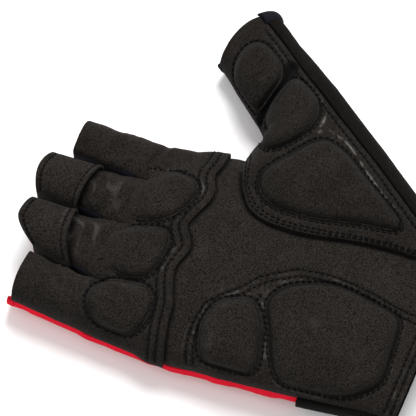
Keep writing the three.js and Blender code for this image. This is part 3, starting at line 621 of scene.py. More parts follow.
class Sheet:
    """Cloth on a skin: grids that share their corners, raised off the skin and given a thickness."""

    def __init__(self, turned=False):
        self.turned = turned
        self.parts = []
        self.quads = []
        self.count = 0

    def grid(self, columns, rows, place, lift=0.0, on_side=None):
        """on_side says where the skin stands upright, which is at the two sides if it isn't given."""
        u, v = np.meshgrid(np.asarray(columns, float), np.asarray(rows, float))
        upright = on_side(u, v) if on_side else np.abs(u) == 1
        data = [place(u, v), heights(lift, u, v)[..., None], upright[..., None]]
        self.parts.append(np.concatenate(data, axis=-1).reshape(-1, 5))
        index = self.count + np.arange(u.size).reshape(u.shape)
        corners = [index[:-1, :-1], index[:-1, 1:], index[1:, 1:], index[1:, :-1]]
        self.quads.append(np.stack(corners, axis=-1).reshape(-1, 4))
        self.count += u.size
        return self

    def build(self, name, thickness, finish, relief, crumple=None, edge=0.25):
        """relief lowers or raises the outside only and crumple the whole cloth; each takes the
        points and gives heights, and relief gives the tone too."""
        data, quads = np.concatenate(self.parts), np.concatenate(self.quads)
        corners = np.round(data[:, :3], 3)
        _, first, again = np.unique(corners, axis=0, return_index=True, return_inverse=True)
        data, quads = data[first], again.reshape(-1)[quads]
        if self.turned:
            quads = quads[:, ::-1]
        base, raised, upright = data[:, :3], data[:, 3:4], data[:, 4] > 0
        normals = np.zeros(base.shape)
        face = np.cross(base[quads[:, 2]] - base[quads[:, 0]], base[quads[:, 3]] - base[quads[:, 1]])
        for corner in range(4):
            np.add.at(normals, quads[:, corner], face)
        normals[upright, 2] = 0
        normals = unit(normals)
        middle = base + normals * raised
        if crumple:
            middle = middle + normals * crumple(middle)[:, None]
        height, tone = relief(middle)
        outer = middle + normals * height[:, None]
        inner = middle - normals * thickness
        edges = np.concatenate([quads[:, [corner, (corner + 1) % 4]] for corner in range(4)])
        size = len(base)
        lone = ~np.isin(edges[:, 0] * size + edges[:, 1], edges[:, 1] * size + edges[:, 0])
        rim = edges[lone]
        away = np.zeros(base.shape)
        side = np.cross(unit(outer[rim[:, 1]] - outer[rim[:, 0]]), normals[rim[:, 0]])
        np.add.at(away, rim[:, 0], side)
        np.add.at(away, rim[:, 1], side)
        away = unit(away)
        on_rim = np.unique(rim)
        points, rings = [outer, inner], [np.arange(size)]
        where = np.full(size, -1)
        where[on_rim] = np.arange(len(on_rim))
        for turn in RIM_TURNS:
            share = (1 - np.cos(turn)) / 2
            ring = lerp(outer[on_rim], inner[on_rim], share) + away[on_rim] * edge * np.sin(turn)
            rings.append(sum(map(len, points)) + where)
            points.append(ring)
        rings.append(np.arange(size) + size)
        faces = [quads, quads[:, ::-1] + size]
        start, stop = rim.T
        for near, far in zip(rings, rings[1:]):
            faces.append(np.stack([near[stop], near[start], far[start], far[stop]], axis=-1))
        # the rounded rim rings get painted shade, their tone lowered by RIM_SHADE
        tones = np.concatenate([tone, tone, *[tone[on_rim] - RIM_SHADE] * len(RIM_TURNS)])
        faces = np.concatenate(faces).tolist()
        made = mesh_object(name + "_cloth", np.concatenate(points), faces, finish, tones)
        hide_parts(name)
        return made


# Materials

WAVES_PER_UNIT = 3.2  # how many ribs a wave texture of scale 1 has in a metre
DEEPEST = 0.3  # how much of its dark colour cloth keeps at a tone of -1, the deepest painted shade, as in a seam's groove
PALE_SHOWS = 0.08  # the tone at which the nap starts to be painted paler, for painted highlights and random pale patches


class Nodes:
    """A short way to write a material's nodes."""

    def __init__(self, name):
        self.material = bpy.data.materials.new(name)
        self.material.use_nodes = True
        self.tree = self.material.node_tree
        self.shader = self.tree.nodes["Principled BSDF"]
        self.place = self.add("ShaderNodeTexCoord").outputs["Object"]

    def add(self, kind, **inputs):
        node = self.tree.nodes.new(kind)
        for name, value in inputs.items():
            self.set(node.inputs[name.replace("_", " ")], value)
        return node

    def set(self, socket, value):
        if isinstance(value, bpy.types.NodeSocket):
            self.tree.links.new(value, socket)
        else:
            socket.default_value = value

    def noise(self, scale, detail=2.0, roughness=0.5, distortion=0.0):
        facts = {"Scale": scale, "Detail": detail, "Roughness": roughness, "Distortion": distortion}
        return self.add("ShaderNodeTexNoise", Vector=self.place, **facts).outputs["Fac"]

    def wave(self, pitch, direction, distortion, detail):
        """Soft ribs a pitch apart."""
        facts = {"Scale": 1 / pitch / WAVES_PER_UNIT, "Distortion": distortion, "Detail": detail}
        node = self.add("ShaderNodeTexWave", Vector=self.place, **facts)
        node.bands_direction = direction
        return node.outputs["Fac"]

    def math(self, operation, a, b):
        node = self.add("ShaderNodeMath")
        node.operation = operation
        self.set(node.inputs[0], a)
        self.set(node.inputs[1], b)
        return node.outputs[0]

    def weigh(self, *parts):
        """The sum of values times their weights."""
        total = 0.0
        for value, weight in parts:
            total = self.math("ADD", total, self.math("MULTIPLY", value, weight))
        return total

    def shares(self, value, low, high):
        """A value as a share from 0 at low to 1 at high, and no further."""
        return self.add("ShaderNodeMapRange", Value=value, From_Min=low, From_Max=high).outputs[0]

    def mix(self, share, a, b):
        node = self.add("ShaderNodeMix")
        node.data_type = "RGBA"
        self.set(node.inputs["Factor"], share)
        self.set(node.inputs[6], (*a, 1) if isinstance(a, tuple) else a)
        self.set(node.inputs[7], (*b, 1) if isinstance(b, tuple) else b)
        return node.outputs[2]

    def tone(self):
        node = self.add("ShaderNodeAttribute")
        node.attribute_name = "tone"
        return node.outputs["Fac"]

    def shaded(self, color, dark):
        """The colour, turning to nearly black where the tone is below 0."""
        return self.mix(self.shares(self.tone(), 0, -1), color, tuple(c * DEEPEST for c in dark))

    def bump(self, height, distance, strength=1.0, below=None):
        node = self.add("ShaderNodeBump", Height=height, Distance=distance, Strength=strength)
        if below:
            self.set(node.inputs["Normal"], below)
        return node.outputs[0]

    def finish(self, color, normal, roughness, gloss, sheen=0.0, sheen_roughness=0.5):
        facts = {
            "Base Color": color,
            "Normal": normal,
            "Roughness": roughness,
            "Specular IOR Level": gloss,
            "Sheen Weight": sheen,
            "Sheen Roughness": sheen_roughness,
        }
        for name, value in facts.items():
            self.set(self.shader.inputs[name], value)
        return self.material


def suede(name, slot, dark, light, pale_tone, sheen=0.03):
    """A short mottled nap: fine grain, patches where the nap lies the other way, and the tone: painted
    highlights that turn it paler and painted shade that turns it nearly black.
    """
    n = Nodes(name)
    grain = n.noise(1950, 2, 0.7)
    nap = n.noise(420, 4, 0.6, 0.6)
    patches = n.noise(70, 3, 0.55)
    mottle = n.weigh((grain, 0.8), (nap, 0.12), (patches, 0.08))
    color = n.mix(n.shares(mottle, 0.43, 0.57), dark, light)
    color = n.mix(n.shares(n.tone(), PALE_SHOWS, 1 + PALE_SHOWS), color, pale_tone)
    normal = n.bump(grain, 0.00015, 0.9, n.bump(n.noise(900, 3, 0.6), 0.00025, 0.7))
    return n.finish(n.shaded(color, dark), normal, 0.95, 0.07, sheen), slot


def knit(name, slot, dark, light, pitch, sheen=0.0):
    """A stretch knit: fine ribs crossed by the rows of loops."""
    n = Nodes(name)
    loops = n.math("MULTIPLY", n.wave(pitch, "DIAGONAL", 1.2, 2.0), n.wave(pitch, "Y", 0.8, 1.0))
    soft = n.noise(120, 3)
    color = n.shaded(n.mix(n.weigh((loops, 0.6), (soft, 0.4)), dark, light), dark)
    normal = n.bump(loops, 0.0001, 0.6, n.bump(soft, 0.0004, 0.4))
    return n.finish(color, normal, 0.85, 0.08, sheen, 0.45), slot


def yarn(name, slot, dark, light):
    n = Nodes(name)
    twist = n.noise(1500)
    return n.finish(n.mix(twist, dark, light), n.bump(twist, 0.0001, 0.5), 0.85, 0.08), slot


# The dark and the light colour of each cloth
PALM_COLORS = (0.0034, 0.0027, 0.0022), (0.0215, 0.0177, 0.0148)
PAD_COLORS = (0.0032, 0.0026, 0.0021), (0.0205, 0.017, 0.0143)
# The strip is painted much darker than the palm's suede: partly its own darker brown, partly painted
# shade for a side that faces away from the light
STRIP_COLORS = (0.0012, 0.0008, 0.0005), (0.0045, 0.0032, 0.0022)
RED_COLORS = (0.5, 0.003, 0.015), (0.85, 0.012, 0.04)
NAVY_COLORS = (0.010, 0.010, 0.018), (0.042, 0.042, 0.066)
ROLL_COLORS = (0.0025, 0.0025, 0.0045), (0.009, 0.009, 0.014)
STRAP_COLORS = (0.0014, 0.0011, 0.0009), (0.0052, 0.0042, 0.0036)
THREAD_COLORS = (0.0006, 0.0006, 0.0008), (0.003, 0.003, 0.004)
# The colours that cloth is painted towards at a tone of 1: painted highlights and random pale patches
PALE_NAP = (0.12, 0.115, 0.11)
PALE_STRIP = (0.05, 0.042, 0.035)

PALM_SUEDE = suede("palm_suede", "suede", *PALM_COLORS, PALE_NAP)
PAD_SUEDE = suede("pad_suede", "pad_suede", *PAD_COLORS, PALE_NAP)
STRIP_SUEDE = suede("strip_suede", "suede", *STRIP_COLORS, PALE_STRIP, sheen=0.0)
RED_KNIT = knit("red_knit", "red_knit", *RED_COLORS, pitch=0.0006)
NAVY_STRETCH = knit("navy_stretch", "navy_stretch", *NAVY_COLORS, pitch=0.0005, sheen=0.03)
NAVY_ROLL = knit("navy_roll", "navy_stretch", *ROLL_COLORS, pitch=0.0005)
STRAP_CLOTH = knit("strap_cloth", "strap", *STRAP_COLORS, pitch=0.0008)
THREAD = yarn("thread", "suede", *THREAD_COLORS)

# The seams of the palm side

LAP_ACROSS = np.linspace(-0.995, 0.985, 120)
HAND_LAP = stack(LAP_ACROSS, read(KNUCKLE_LAP, "across", "along", LAP_ACROSS))
LAP_SEAMS = [Line(hand_top, HAND_LAP, LAP_LIFT, aside=row) for row in LAP_ROWS]
THENAR_LAP = stack(-0.999, np.linspace(0.004, CROTCH_OUT - 0.01, 90))
THENAR_ON_PALM = stack(THENAR["across"], THENAR["along"])[1:-1]
LAP_SHADOWS = [Line(hand_top, HAND_LAP, aside=-0.5), Line(hand_top, smooth(THENAR_ON_PALM), aside=0.5)]
THUMB_SEAMS = [Line(thumb_top, THENAR_LAP, aside=-row) for row in THUMB_LAP_ROWS]
HEEL_SEAMS = [Line(hand_top, smooth(HEEL_SEAM), aside=-row) for row in HEEL_ROWS]
DART_SEAM = Line(hand_top, smooth(DART), LAP_LIFT / 2)
CREASE = Line(thumb_top, smooth(THUMB_CREASE))
RIDGE_HIGHLIGHT_LINES = [Line(thumb_top, smooth(places)) for places in RIDGE_HIGHLIGHTS]
FOLD = Line(hand_top, smooth(INDEX_FOLD), LAP_LIFT / 2)
TACK = Line(hand_top, smooth(BAR_TACK))
WRIST_ACROSS = np.linspace(-0.97, 0.68, 60)
WRIST_SEAMS = [Line(hand_top, stack(WRIST_ACROSS, back / PALM_LENGTH)) for back in WRIST_ROWS]
STRIP_OUT = np.linspace(0.01, 0.95, 140)
STRIP_SEAM = Line(thumb_top, stack(in_from(strip_top(STRIP_OUT) + STRIP_ROW, STRIP_OUT), STRIP_OUT))


def thumb_wrist_row(back):
    """A row that stays a distance from the wrist hem, where the thumb's rows fan out."""
    across, first = np.linspace(-0.97, 0.8, 40), THENAR["out"][1]
    along = lerp(THENAR["along"][1] * PALM_LENGTH, first * THUMB_REACH * FORWARD[1], from_left(across))
    return Line(thumb_top, stack(across, back / along * first))


THUMB_WRIST_SEAMS = [thumb_wrist_row(back) for back in WRIST_ROWS]


def knuckle_lift(across, along):
    past = (along - read(KNUCKLE_LAP, "across", "along", across)) * PALM_LENGTH
    return LAP_LIFT * (1 - smoothstep(past, UNDERLAP + LAP_FLAT, UNDERLAP + LAP_FLAT + LAP_FALL))


OUTLINE_STEP = 0.6
SOFTENED = 4  # how many places each way an outline is evened out over


def outline(corners, scale):
    """Even places round a pad, anticlockwise and with its corners rounded."""
    corners = np.array(corners) * scale
    t = np.linspace(0, 1, 8)[:, None]
    loop = []
    for before, corner, after in zip(np.roll(corners, 1, axis=0), corners, np.roll(corners, -1, axis=0)):
        ends = []
        for other in (before, after):
            length = np.linalg.norm(other - corner)
            ends.append(corner + (other - corner) / length * min(PAD_CORNER, length / 2.2))
        loop.append((1 - t) ** 2 * ends[0] + 2 * t * (1 - t) * corner + t**2 * ends[1])
    loop = even(np.concatenate(loop), OUTLINE_STEP, closed=True)
    shifts = range(-SOFTENED, SOFTENED + 1)
    loop = sum(np.roll(loop, shift, axis=0) for shift in shifts) / len(shifts)
    after = np.roll(loop, -1, axis=0)
    area = (loop[:, 0] * after[:, 1] - loop[:, 1] * after[:, 0]).sum()
    return (loop if area > 0 else loop[::-1]) / scale


def on_knuckles(name):
    return name in HAND_PADS and HAND_PADS[name][0][1] > WEB


def pad_plan():
    """For each pad: its outline as shares, its skin, and how far its panel is lifted off the skin."""
    plan = {}
    for name, corners in HAND_PADS.items():
        loop = outline(corners, np.array([PALM_WIDTH / 2, PALM_LENGTH]))
        plan[name] = (loop, hand_top, knuckle_lift if on_knuckles(name) else 0.0)
    for name, corners in THUMB_PADS.items():
        out = np.mean([corner[1] for corner in corners])
        half_row = np.linalg.norm(thumb_top(1.0, out) - thumb_top(-1.0, out)) / 2
        plan[name] = (outline(corners, np.array([half_row, THUMB_REACH])), thumb_top, 0.0)
    return plan


PADS = pad_plan()
PAD_EDGES = {name: Line(skin, loop, lift, closed=True) for name, (loop, skin, lift) in PADS.items()}
# Past these shares along the hand two pads lose their seam
RUNOUT = {"pad_index": 0.915, "pad_ring": 0.93}


def pad_seam(name):
    """The part of a pad's edge that is sewn."""
    loop, skin, lift = PADS[name]
    if name not in RUNOUT:
        return PAD_EDGES[name]
    sewn = loop[:, 1] < RUNOUT[name]
    start = np.flatnonzero(sewn & ~np.roll(sewn, 1))[0]
    loop, sewn = np.roll(loop, -start, axis=0), np.roll(sewn, -start)
    return Line(skin, loop[sewn], lift)


PAD_SEAMS = {name: pad_seam(name) for name in PADS}


BETWEEN_HOLES, AT_HOLES = 0.6, 1.15  # how much of a groove's depth is reached
# Painted shade in a groove, darkest at the needle holes, and the pale specks beside it
GROOVE_SHADE, PALE_BESIDE = 0.75, 0.2


def pressed(points, grooves):
    """The relief and tone that grooves press into cloth: lines, each with a depth, a width and the
    pitch of the needle holes. A groove gets painted shade, darkest at the holes, and pale specks
    beside it."""
    height, tone = np.zeros(len(points)), np.zeros(len(points))
    for line, depth, width, pitch in grooves:
        distance, run = line.measure(points)
        hole = 0.5 + 0.5 * np.cos(2 * np.pi * run / pitch)
        specks = 0.5 + noise(points, 1.1, 91)
        height -= depth * bell(distance, width) * lerp(BETWEEN_HOLES, AT_HOLES, hole)
        tone -= GROOVE_SHADE * bell(distance, 0.75 * width) * lerp(0.35, 1, hole)
        tone += PALE_BESIDE * bell(distance - 1.7 * width, 0.5 * width) * specks
    return height, tone


ROW_GROOVE = (0.4, 0.8, PITCH)
EDGE_GROOVE = (0.6, 1.0, PITCH)
TAB_GROOVE = (0.35, 0.7, FINE_PITCH)


def panel_relief(lines, seed):
    edges = [(line, *EDGE_GROOVE) for line in PAD_SEAMS.values()]
    grooves = edges + [(line, *ROW_GROOVE) for line in lines]

    def relief(points):
        height, tone = pressed(points, grooves)
        height += 0.12 * noise(points, 2.6, seed)
        return height, tone + 0.15 * noise(points, 7.0, seed + 1)

    return relief


PUCKERS_END = (3, 10)  # where the wrist hem's puckers fade out, from the hem


def palm_crumple(points):
    puckers = 0.4 * noise(points, (2.4, 9.0, 9.0), 5) * (1 - smoothstep(points[:, 1], *PUCKERS_END))
    return 0.4 * noise(points, 15.0, 3) + 0.22 * noise(points, (5.0, 9.0, 9.0), 4) + puckers


# The palm side's three panels


def palm_radial_edge(along):
    lap = read(THENAR, "along", "across", np.minimum(along + UNDERLAP / PALM_LENGTH, WEB))
    covered = np.minimum(lap + UNDERLAP / hand_section(along)["half"], UNDERLAP_LIMIT)
    return lerp(covered, 1, smoothstep(along, WEB - 2 * WEB_TURN, WEB))


def palm_panel():
    def along(column, row):
        return row * (read(KNUCKLE_LAP, "across", "along", column) + UNDERLAP / PALM_LENGTH)

    def place(column, row):
        across = lerp(-1, palm_radial_edge(along(column, row)), from_left(column))
        return hand_top(across, along(column, row))

    def on_side(column, row):
        return (column == -1) | ((column == 1) & (along(column, row) > WEB))

    web = WEB / (KNUCKLE_LAP["along"][-1] + UNDERLAP / PALM_LENGTH)
    rows = np.union1d(np.linspace(0, 1, 165), np.linspace(web - 0.04, web + 0.02, 19))
    sewn = panel_relief(HEEL_SEAMS + WRIST_SEAMS, 11)

    def relief(points):
        height, tone = sewn(points)
        for line in LAP_SHADOWS:
            tone -= 0.9 * bell(line.distance(points), 0.9)
        return height, tone

    sheet = Sheet().grid(arch(130), rows, place, on_side=on_side)
    return sheet.build("palm_panel", SUEDE, PALM_SUEDE, relief, palm_crumple)


def knuckle_columns(per_finger):
    columns = [-1.0]
    for low, high in zip(CROTCHES["across"], CROTCHES["across"][1:]):
        columns.extend(lerp(low, high, from_left(arch(per_finger)[1:])))
    return columns


FINGER_EDGES = [
    Line(partial(finger_top, finger), stack(0.98 * side, np.linspace(0, 1, 60)))
    for finger in (RING, MIDDLE)
    for side in (-1, 1)
]


# Where the folds at the finger roots begin and end, how wide they reach, and how clear they keep
FOLDS_BEGIN, FOLDS_END = (126, 134), (144, 152)
FOLDS_REACH = 24
FOLDS_CLEAR = (1.5, 4.5)


def root_folds(points):
    """The soft creases where the middle and ring fingers leave the palm, clear of the slits."""
    x, y = points[:, 0], points[:, 1]
    clear = np.min([smoothstep(edge.distance(points), *FOLDS_CLEAR) for edge in FINGER_EDGES], axis=0)
    folds = 1 - 2.4 * np.abs(noise(points, (8.0, 3.4, 8.0), 8))
    placed = smoothstep(y, *FOLDS_BEGIN) * (1 - smoothstep(y, *FOLDS_END)) * bell(x, FOLDS_REACH)
    return folds * placed * clear


def knuckle_crumple(points):
    notch = 1.5 * bell(FOLD.distance(points), 1.3) + 0.8 * bell(DART_SEAM.distance(points), 1.0)
    return 1.6 * root_folds(points) + 0.3 * noise(points, (9.0, 6.0, 9.0), 9) - notch


def fingers(sheet, per_finger, rows, skin, ends=None):
    for finger in range(len(FINGER_NAMES)):
        until = ends(finger) if ends else 1
        sheet.grid(arch(per_finger), rows * until, partial(skin, finger))
    return sheet


def tab_row(finger, back, lift=SUEDE + TAB_CLEARANCE):
    """A line across a pull tab, some way back from the hem."""
    places = stack(np.linspace(-0.94, 0.94, 40), 1 - back / FINGERS["reach"][finger])
    return Line(partial(finger_top, finger), places, lift)


TAB_SHADOWS = [tab_row(finger, TAB_LENGTH + 0.8, 0.0) for finger in (RING, MIDDLE)]


def knuckle_panel():
    def along(across, row):
        return lerp(read(KNUCKLE_LAP, "across", "along", across), 1, row)

    sheet = Sheet().grid(
        knuckle_columns(34),
        np.linspace(0, 1, 56),
        lambda across, row: hand_top(across, along(across, row)),
        lambda across, row: knuckle_lift(across, along(across, row)),
    )
    fingers(sheet, 34, np.linspace(0, 1, 50), finger_top)
    sewn = panel_relief([*LAP_SEAMS, DART_SEAM], 13)

    def relief(points):
        height, tone = sewn(points)
        for line in TAB_SHADOWS:
            tone -= 1.0 * bell(line.distance(points), 1.0)
        # painted highlight on the crests of the root folds and painted shade in their creases, and the
        # whole knuckle panel painted darker as painted shade
        return height, tone + 0.5 * root_folds(points) - KNUCKLES_PAINTED_SHADE

    return sheet.build("knuckle_panel", SUEDE, PALM_SUEDE, relief, knuckle_crumple)


def beside_web(column, out):
    """The thumb's own side, past the web."""
    return (column == -1) & (out > CROTCH_OUT)


def thumb_panel():
    def place(column, out):
        edge = in_from(strip_top(out) + STRIP_GAP, out)
        return thumb_top(lerp(-1, edge, from_left(column)), out)

    def crumple(points):
        return 0.2 * noise(points, 8.0, 6) - 1.8 * bell(CREASE.distance(points), 1.4)

    sewn = panel_relief([*THUMB_SEAMS, *THUMB_WRIST_SEAMS, STRIP_SEAM], 17)

    def relief(points):
        height, tone = sewn(points)
        # painted highlight along the thin raised ridges beside the thumb's pads
        for line in RIDGE_HIGHLIGHT_LINES:
            pale_tone = bell(line.distance(points), 0.55)
            height += 0.25 * pale_tone
            tone += 0.9 * pale_tone * np.clip(0.75 + noise(points, 1.6, 92), 0, 1.2)
        # painted shade along the thumb's fold, and the whole thumb panel painted darker as painted shade
        return height, tone - 2.6 * bell(CREASE.distance(points), 2.0) - THUMB_PAINTED_SHADE

    sheet = Sheet().grid(arch(70), np.linspace(0, 1, 210), place, on_side=beside_web)
    return sheet.build("thumb_panel", SUEDE, PALM_SUEDE, relief, crumple)


# Strip, back, gussets, tabs and hems


HEM_FLARE = 1.8  # how far the strip stands out at the thumb's hem


def side_strip_point(share, out):
    """Shares from 1 to 0 run down the palm side to the widest line, and 0 to -1 on to the back."""
    above = thumb_top(lerp(1, in_from(strip_top(out), out), np.maximum(share, 0)), out)
    below = thumb_back(lerp(1, in_from(STRIP_UNDER, out), np.maximum(-share, 0)), out)
    flare = HEM_FLARE * smoothstep(out, BOW_START, 1) * (1 - share**2)
    return np.where((share >= 0)[..., None], above, below) + flare[..., None] * OUTWARD


CLOTH_OUT = 1 - THUMB_HEM_SETBACK / THUMB_REACH
STRIP_STRETCHES = ((1, 0.12, 16), (0.06, -0.2, 7), (-0.3, -1, 9))
STRIP_PLACES = np.concatenate([np.linspace(*stretch) for stretch in STRIP_STRETCHES])


def nowhere(column, row):
    return np.zeros(column.shape, bool)


def side_strip():
    rows = np.linspace(0, CLOTH_OUT, 200)
    sheet = Sheet().grid(STRIP_PLACES, rows, side_strip_point, STRIP_RISE, nowhere)

    def crumple(points):
        return 0.18 * noise(points, 9.0, 21)

    def relief(points):
        return 0.07 * noise(points, 2.6, 22), 0.12 * noise(points, 7.0, 23)

    return sheet.build("thumb_side_strip", SUEDE + STRIP_RISE, STRIP_SUEDE, relief, crumple, edge=0.3)


def cloth_relief(amount, seed):
    def relief(points):
        return amount * noise(points, 6.0, seed), np.zeros(len(points))

    return relief


def hem_place(finger, back):
    return 1 - (FINGERS["setback"][finger] * FINGER_WIDTH + back) / FINGERS["reach"][finger]


def cloth_end(finger):
    return hem_place(finger, HEM_BAND + GAP)


TUCK = 2.2  # how far the back cloth is tucked in behind the suede beside the index finger
WEB_ROWS = (0.693, 0.708)  # two more rows of the back, where it turns at the web


def back_panel():
    def place(across, along):
        radial = np.where(along < WEB, read(THENAR, "along", "back", along), 1)
        point = hand_back(across * lerp(1, radial, from_left(across)), along)
        point[..., 0] -= TUCK * smoothstep(across, 0.8, 1) * smoothstep(along, WEB - 0.08, WEB)
        return point

    def on_side(column, along):
        return (column == -1) | ((column == 1) & (along > WEB))

    rows = np.union1d(np.linspace(BACK_SETBACK / PALM_LENGTH, 1, 100), WEB_ROWS)
    sheet = Sheet(turned=True).grid(knuckle_columns(16), rows, place, on_side=on_side)
    fingers(sheet, 16, np.linspace(0, 1, 28), finger_back, cloth_end)

    def ripple(points):
        return 0.45 * noise(points, (12.0, 4.5, 12.0), 36) * smoothstep(points[:, 2], 3, 7)

    return sheet.build("back_panel", STRETCH, RED_KNIT, cloth_relief(0.12, 31), ripple)


def thumb_back_panel():
    def place(column, out):
        return thumb_back(lerp(-1, in_from(STRIP_UNDER + STRIP_GAP, out), from_left(column)), out)

    sheet = Sheet(turned=True).grid(arch(36), np.linspace(0, CLOTH_OUT, 110), place, on_side=beside_web)
    return sheet.build("thumb_back", STRETCH, NAVY_STRETCH, cloth_relief(0.12, 33))


def gusset(left, right):
    """The cloth in a slit, from the tip of the left finger down to the crotch and up the right one."""
    shares = np.linspace(1, -1, 61)

    def place(level, stop):
        along = shares[stop.astype(int)]
        share = np.abs(along)
        on_left, on_right = finger_top(left, 1.0, share), finger_top(right, -1.0, share)
        point = np.where((along > 0)[..., None], on_left, on_right)
        section = finger_section(left, share)
        clear = GAP + lerp(SUEDE, 0, smoothstep(share, 0, DIP_LENGTH / 2))
        point[..., 2] = lerp(section["cloth"][1] + clear, section["suede"][1] - clear, from_left(level))
        return point

    sheet = Sheet().grid(np.linspace(-1, 1, 9), np.arange(len(shares)), place, on_side=nowhere)
    name = f"gusset_{FINGER_NAMES[right]}_{FINGER_NAMES[left]}"
    return sheet.build(name, STRETCH, NAVY_STRETCH, cloth_relief(0.15, 35))


TAB_GAPE = 1.1  # how far a tab's open edge stands up


def pull_tab(finger):
    start = 1 - TAB_LENGTH / FINGERS["reach"][finger]

    def place(local, share):
        side = np.clip(local, -1, 1)
        point = finger_top(finger, side, share)
        point[..., 2] -= TAB_SKIRT * (np.abs(local) - np.abs(side))
        return point

    def lift(local, share):
        arched = bow(np.clip(local, -1, 1), FINGER_SQUARE)
        open_edge = TAB_GAPE * arched * (1 - smoothstep(share, start, start + 0.12))
        return SUEDE + lerp(GAP, TAB_CLEARANCE, arched) + open_edge

    rows = [tab_row(finger, back) for back in TAB_ROWS]

    def relief(points):
        height, tone = pressed(points, [(line, *TAB_GROOVE) for line in rows])
        return height + 0.12 * noise(points, 5.0, 41), tone + 0.12 * noise(points, 7.0, 42)

    skirt = np.array([1.33, 1.66, 2])
    columns = np.concatenate([-skirt[::-1], arch(36), skirt])
    sheet = Sheet().grid(columns, np.linspace(start, 1, 36), place, lift, lambda c, s: np.abs(c) >= 1)
    return sheet.build("tab_" + FINGER_NAMES[finger], SUEDE, PALM_SUEDE, relief, edge=0.35), rows


def finger_hem_band(finger):
    shares = np.linspace(hem_place(finger, HEM_BAND), hem_place(finger, 0), 6)
    place = partial(finger_back, finger)
    sheet = Sheet(turned=True).grid(arch(32), shares, place, (HEM_THICKNESS - STRETCH) / 2)
    name = "hem_band_" + FINGER_NAMES[finger]
    return sheet.build(name, HEM_THICKNESS, RED_KNIT, cloth_relief(0.1, 51), edge=0.5)


# The stops along the thumb's hem band where it turns into a fat roll, how far back that starts,
# and how much it rises
ROLL_FROM, ROLL_TO = 24, 40
ROLL_BACK = 2.4
ROLL_RISE = 1.1


def thumb_hem_band():
    under = arch(28, -1, in_from(STRIP_UNDER, CLOTH_OUT))
    corner = thumb_top(in_from(strip_top(CLOTH_OUT) + np.array([1.0]), CLOTH_OUT), CLOTH_OUT)
    round_strip = side_strip_point(STRIP_PLACES[::-1][1:], CLOTH_OUT)
    stops = np.concatenate([thumb_back(under, CLOTH_OUT), round_strip, corner])

    def place(stop, past):
        rolled = smoothstep(stop, ROLL_FROM, ROLL_TO)
        reach = lerp(past - 0.8, lerp(-ROLL_BACK, HEM_BAND, (past - GAP) / HEM_BAND), rolled)
        return stops[stop.astype(int)] + reach[..., None] * FORWARD

    def lift(stop, past):
        roll = 0.5 + ROLL_RISE * np.sin(np.pi * np.clip((past - GAP) / HEM_BAND, 0, 1)) ** 0.5
        return (HEM_THICKNESS - STRETCH) / 2 + smoothstep(stop, ROLL_FROM, ROLL_TO) * roll

    rows = np.linspace(GAP, GAP + HEM_BAND, 12)
    sheet = Sheet(turned=True).grid(np.arange(len(stops)), rows, place, lift, lambda c, s: c == 0)
    return sheet.build("hem_band_thumb", HEM_THICKNESS, NAVY_ROLL, cloth_relief(0.12, 53), edge=0.6)


def wrist_strap():
    def place(across, along):
        point = hand_back(across, along)
        point[..., 2] += STRAP_LAP * smoothstep(-across, 0.985, 1)
        return point

    columns, rows = arch(60, -1, STRAP_END), np.linspace(0, STRAP_WIDTH / PALM_LENGTH, 50)
    sheet = Sheet(turned=True).grid(columns, rows, place, GAP + STRAP_THICKNESS)
    return sheet.build("wrist_strap", STRAP_THICKNESS, STRAP_CLOTH, cloth_relief(0.05, 61))


def strap_closure():
    half = hand_section(STRAP_WIDTH / 2 / PALM_LENGTH)["half"]
    margin = (STRAP_WIDTH - CLOSURE_WIDTH) / 2
    columns = np.linspace(CLOSURE_END - CLOSURE_LENGTH / half, CLOSURE_END, 40)
    rows = np.linspace(margin, margin + CLOSURE_WIDTH, 32) / PALM_LENGTH
    sheet = Sheet(turned=True).grid(columns, rows, hand_back, 2 * (GAP + STRAP_THICKNESS))
    return sheet.build("strap_closure", STRAP_THICKNESS, STRAP_CLOTH, cloth_relief(0.03, 63))


# Pads

PAD_SHOULDER = 4.2  # how far in from its seam a pad reaches its height
PAD_CROWN = 0.6
PAD_SINK = 0.3  # how far a pad's rim is pulled into its panel
PAD_RINGS = 45
SETTLES = 30  # how often a pad's surface is evened out
BRIDGED = "pad_thumb_middle"  # the pad that spans the web, whose foam bridges the turn of the skin
NEVER = 9  # past the end of every pad
CREASE_DEPTH, CREASE_WIDTH, CREASE_SHADE = 0.45, 2.2, 2.2  # of the thumb's fold, on its pads
# How far in and how far off the skin the rings of a pad's underside are
UNDERSIDE = ((0.06, 0.15), (0.2, 0.25), (0.5, 0.25))


def bridge(base, normals, inward):
    """Base points and normals that leave the skin for a smooth curved surface over it."""
    flat = base.reshape(-1, 3)
    x, y = (flat[:, :2] - flat[:, :2].mean(0)).T / 10
    terms = stack(1, x, y, x * x, y * y, x * y)
    fitted = terms @ np.linalg.lstsq(terms, flat[:, 2], rcond=None)[0]
    base = base.copy()
    base[..., 2] = lerp(base[..., 2], fitted.reshape(inward.shape), inward)
    return base, unit(lerp(normals, normals.reshape(-1, 3).mean(0), inward[..., None]))


def settle(top):
    """Rings of points, evened out in between the first and the last ring."""
    for _ in range(SETTLES):
        ring = (np.roll(top, 1, axis=1) + np.roll(top, -1, axis=1)) / 2
        between = (top[:-2] + top[2:]) / 2
        top[1:-1] = 0.4 * top[1:-1] + 0.3 * ring[1:-1] + 0.3 * between
    return top


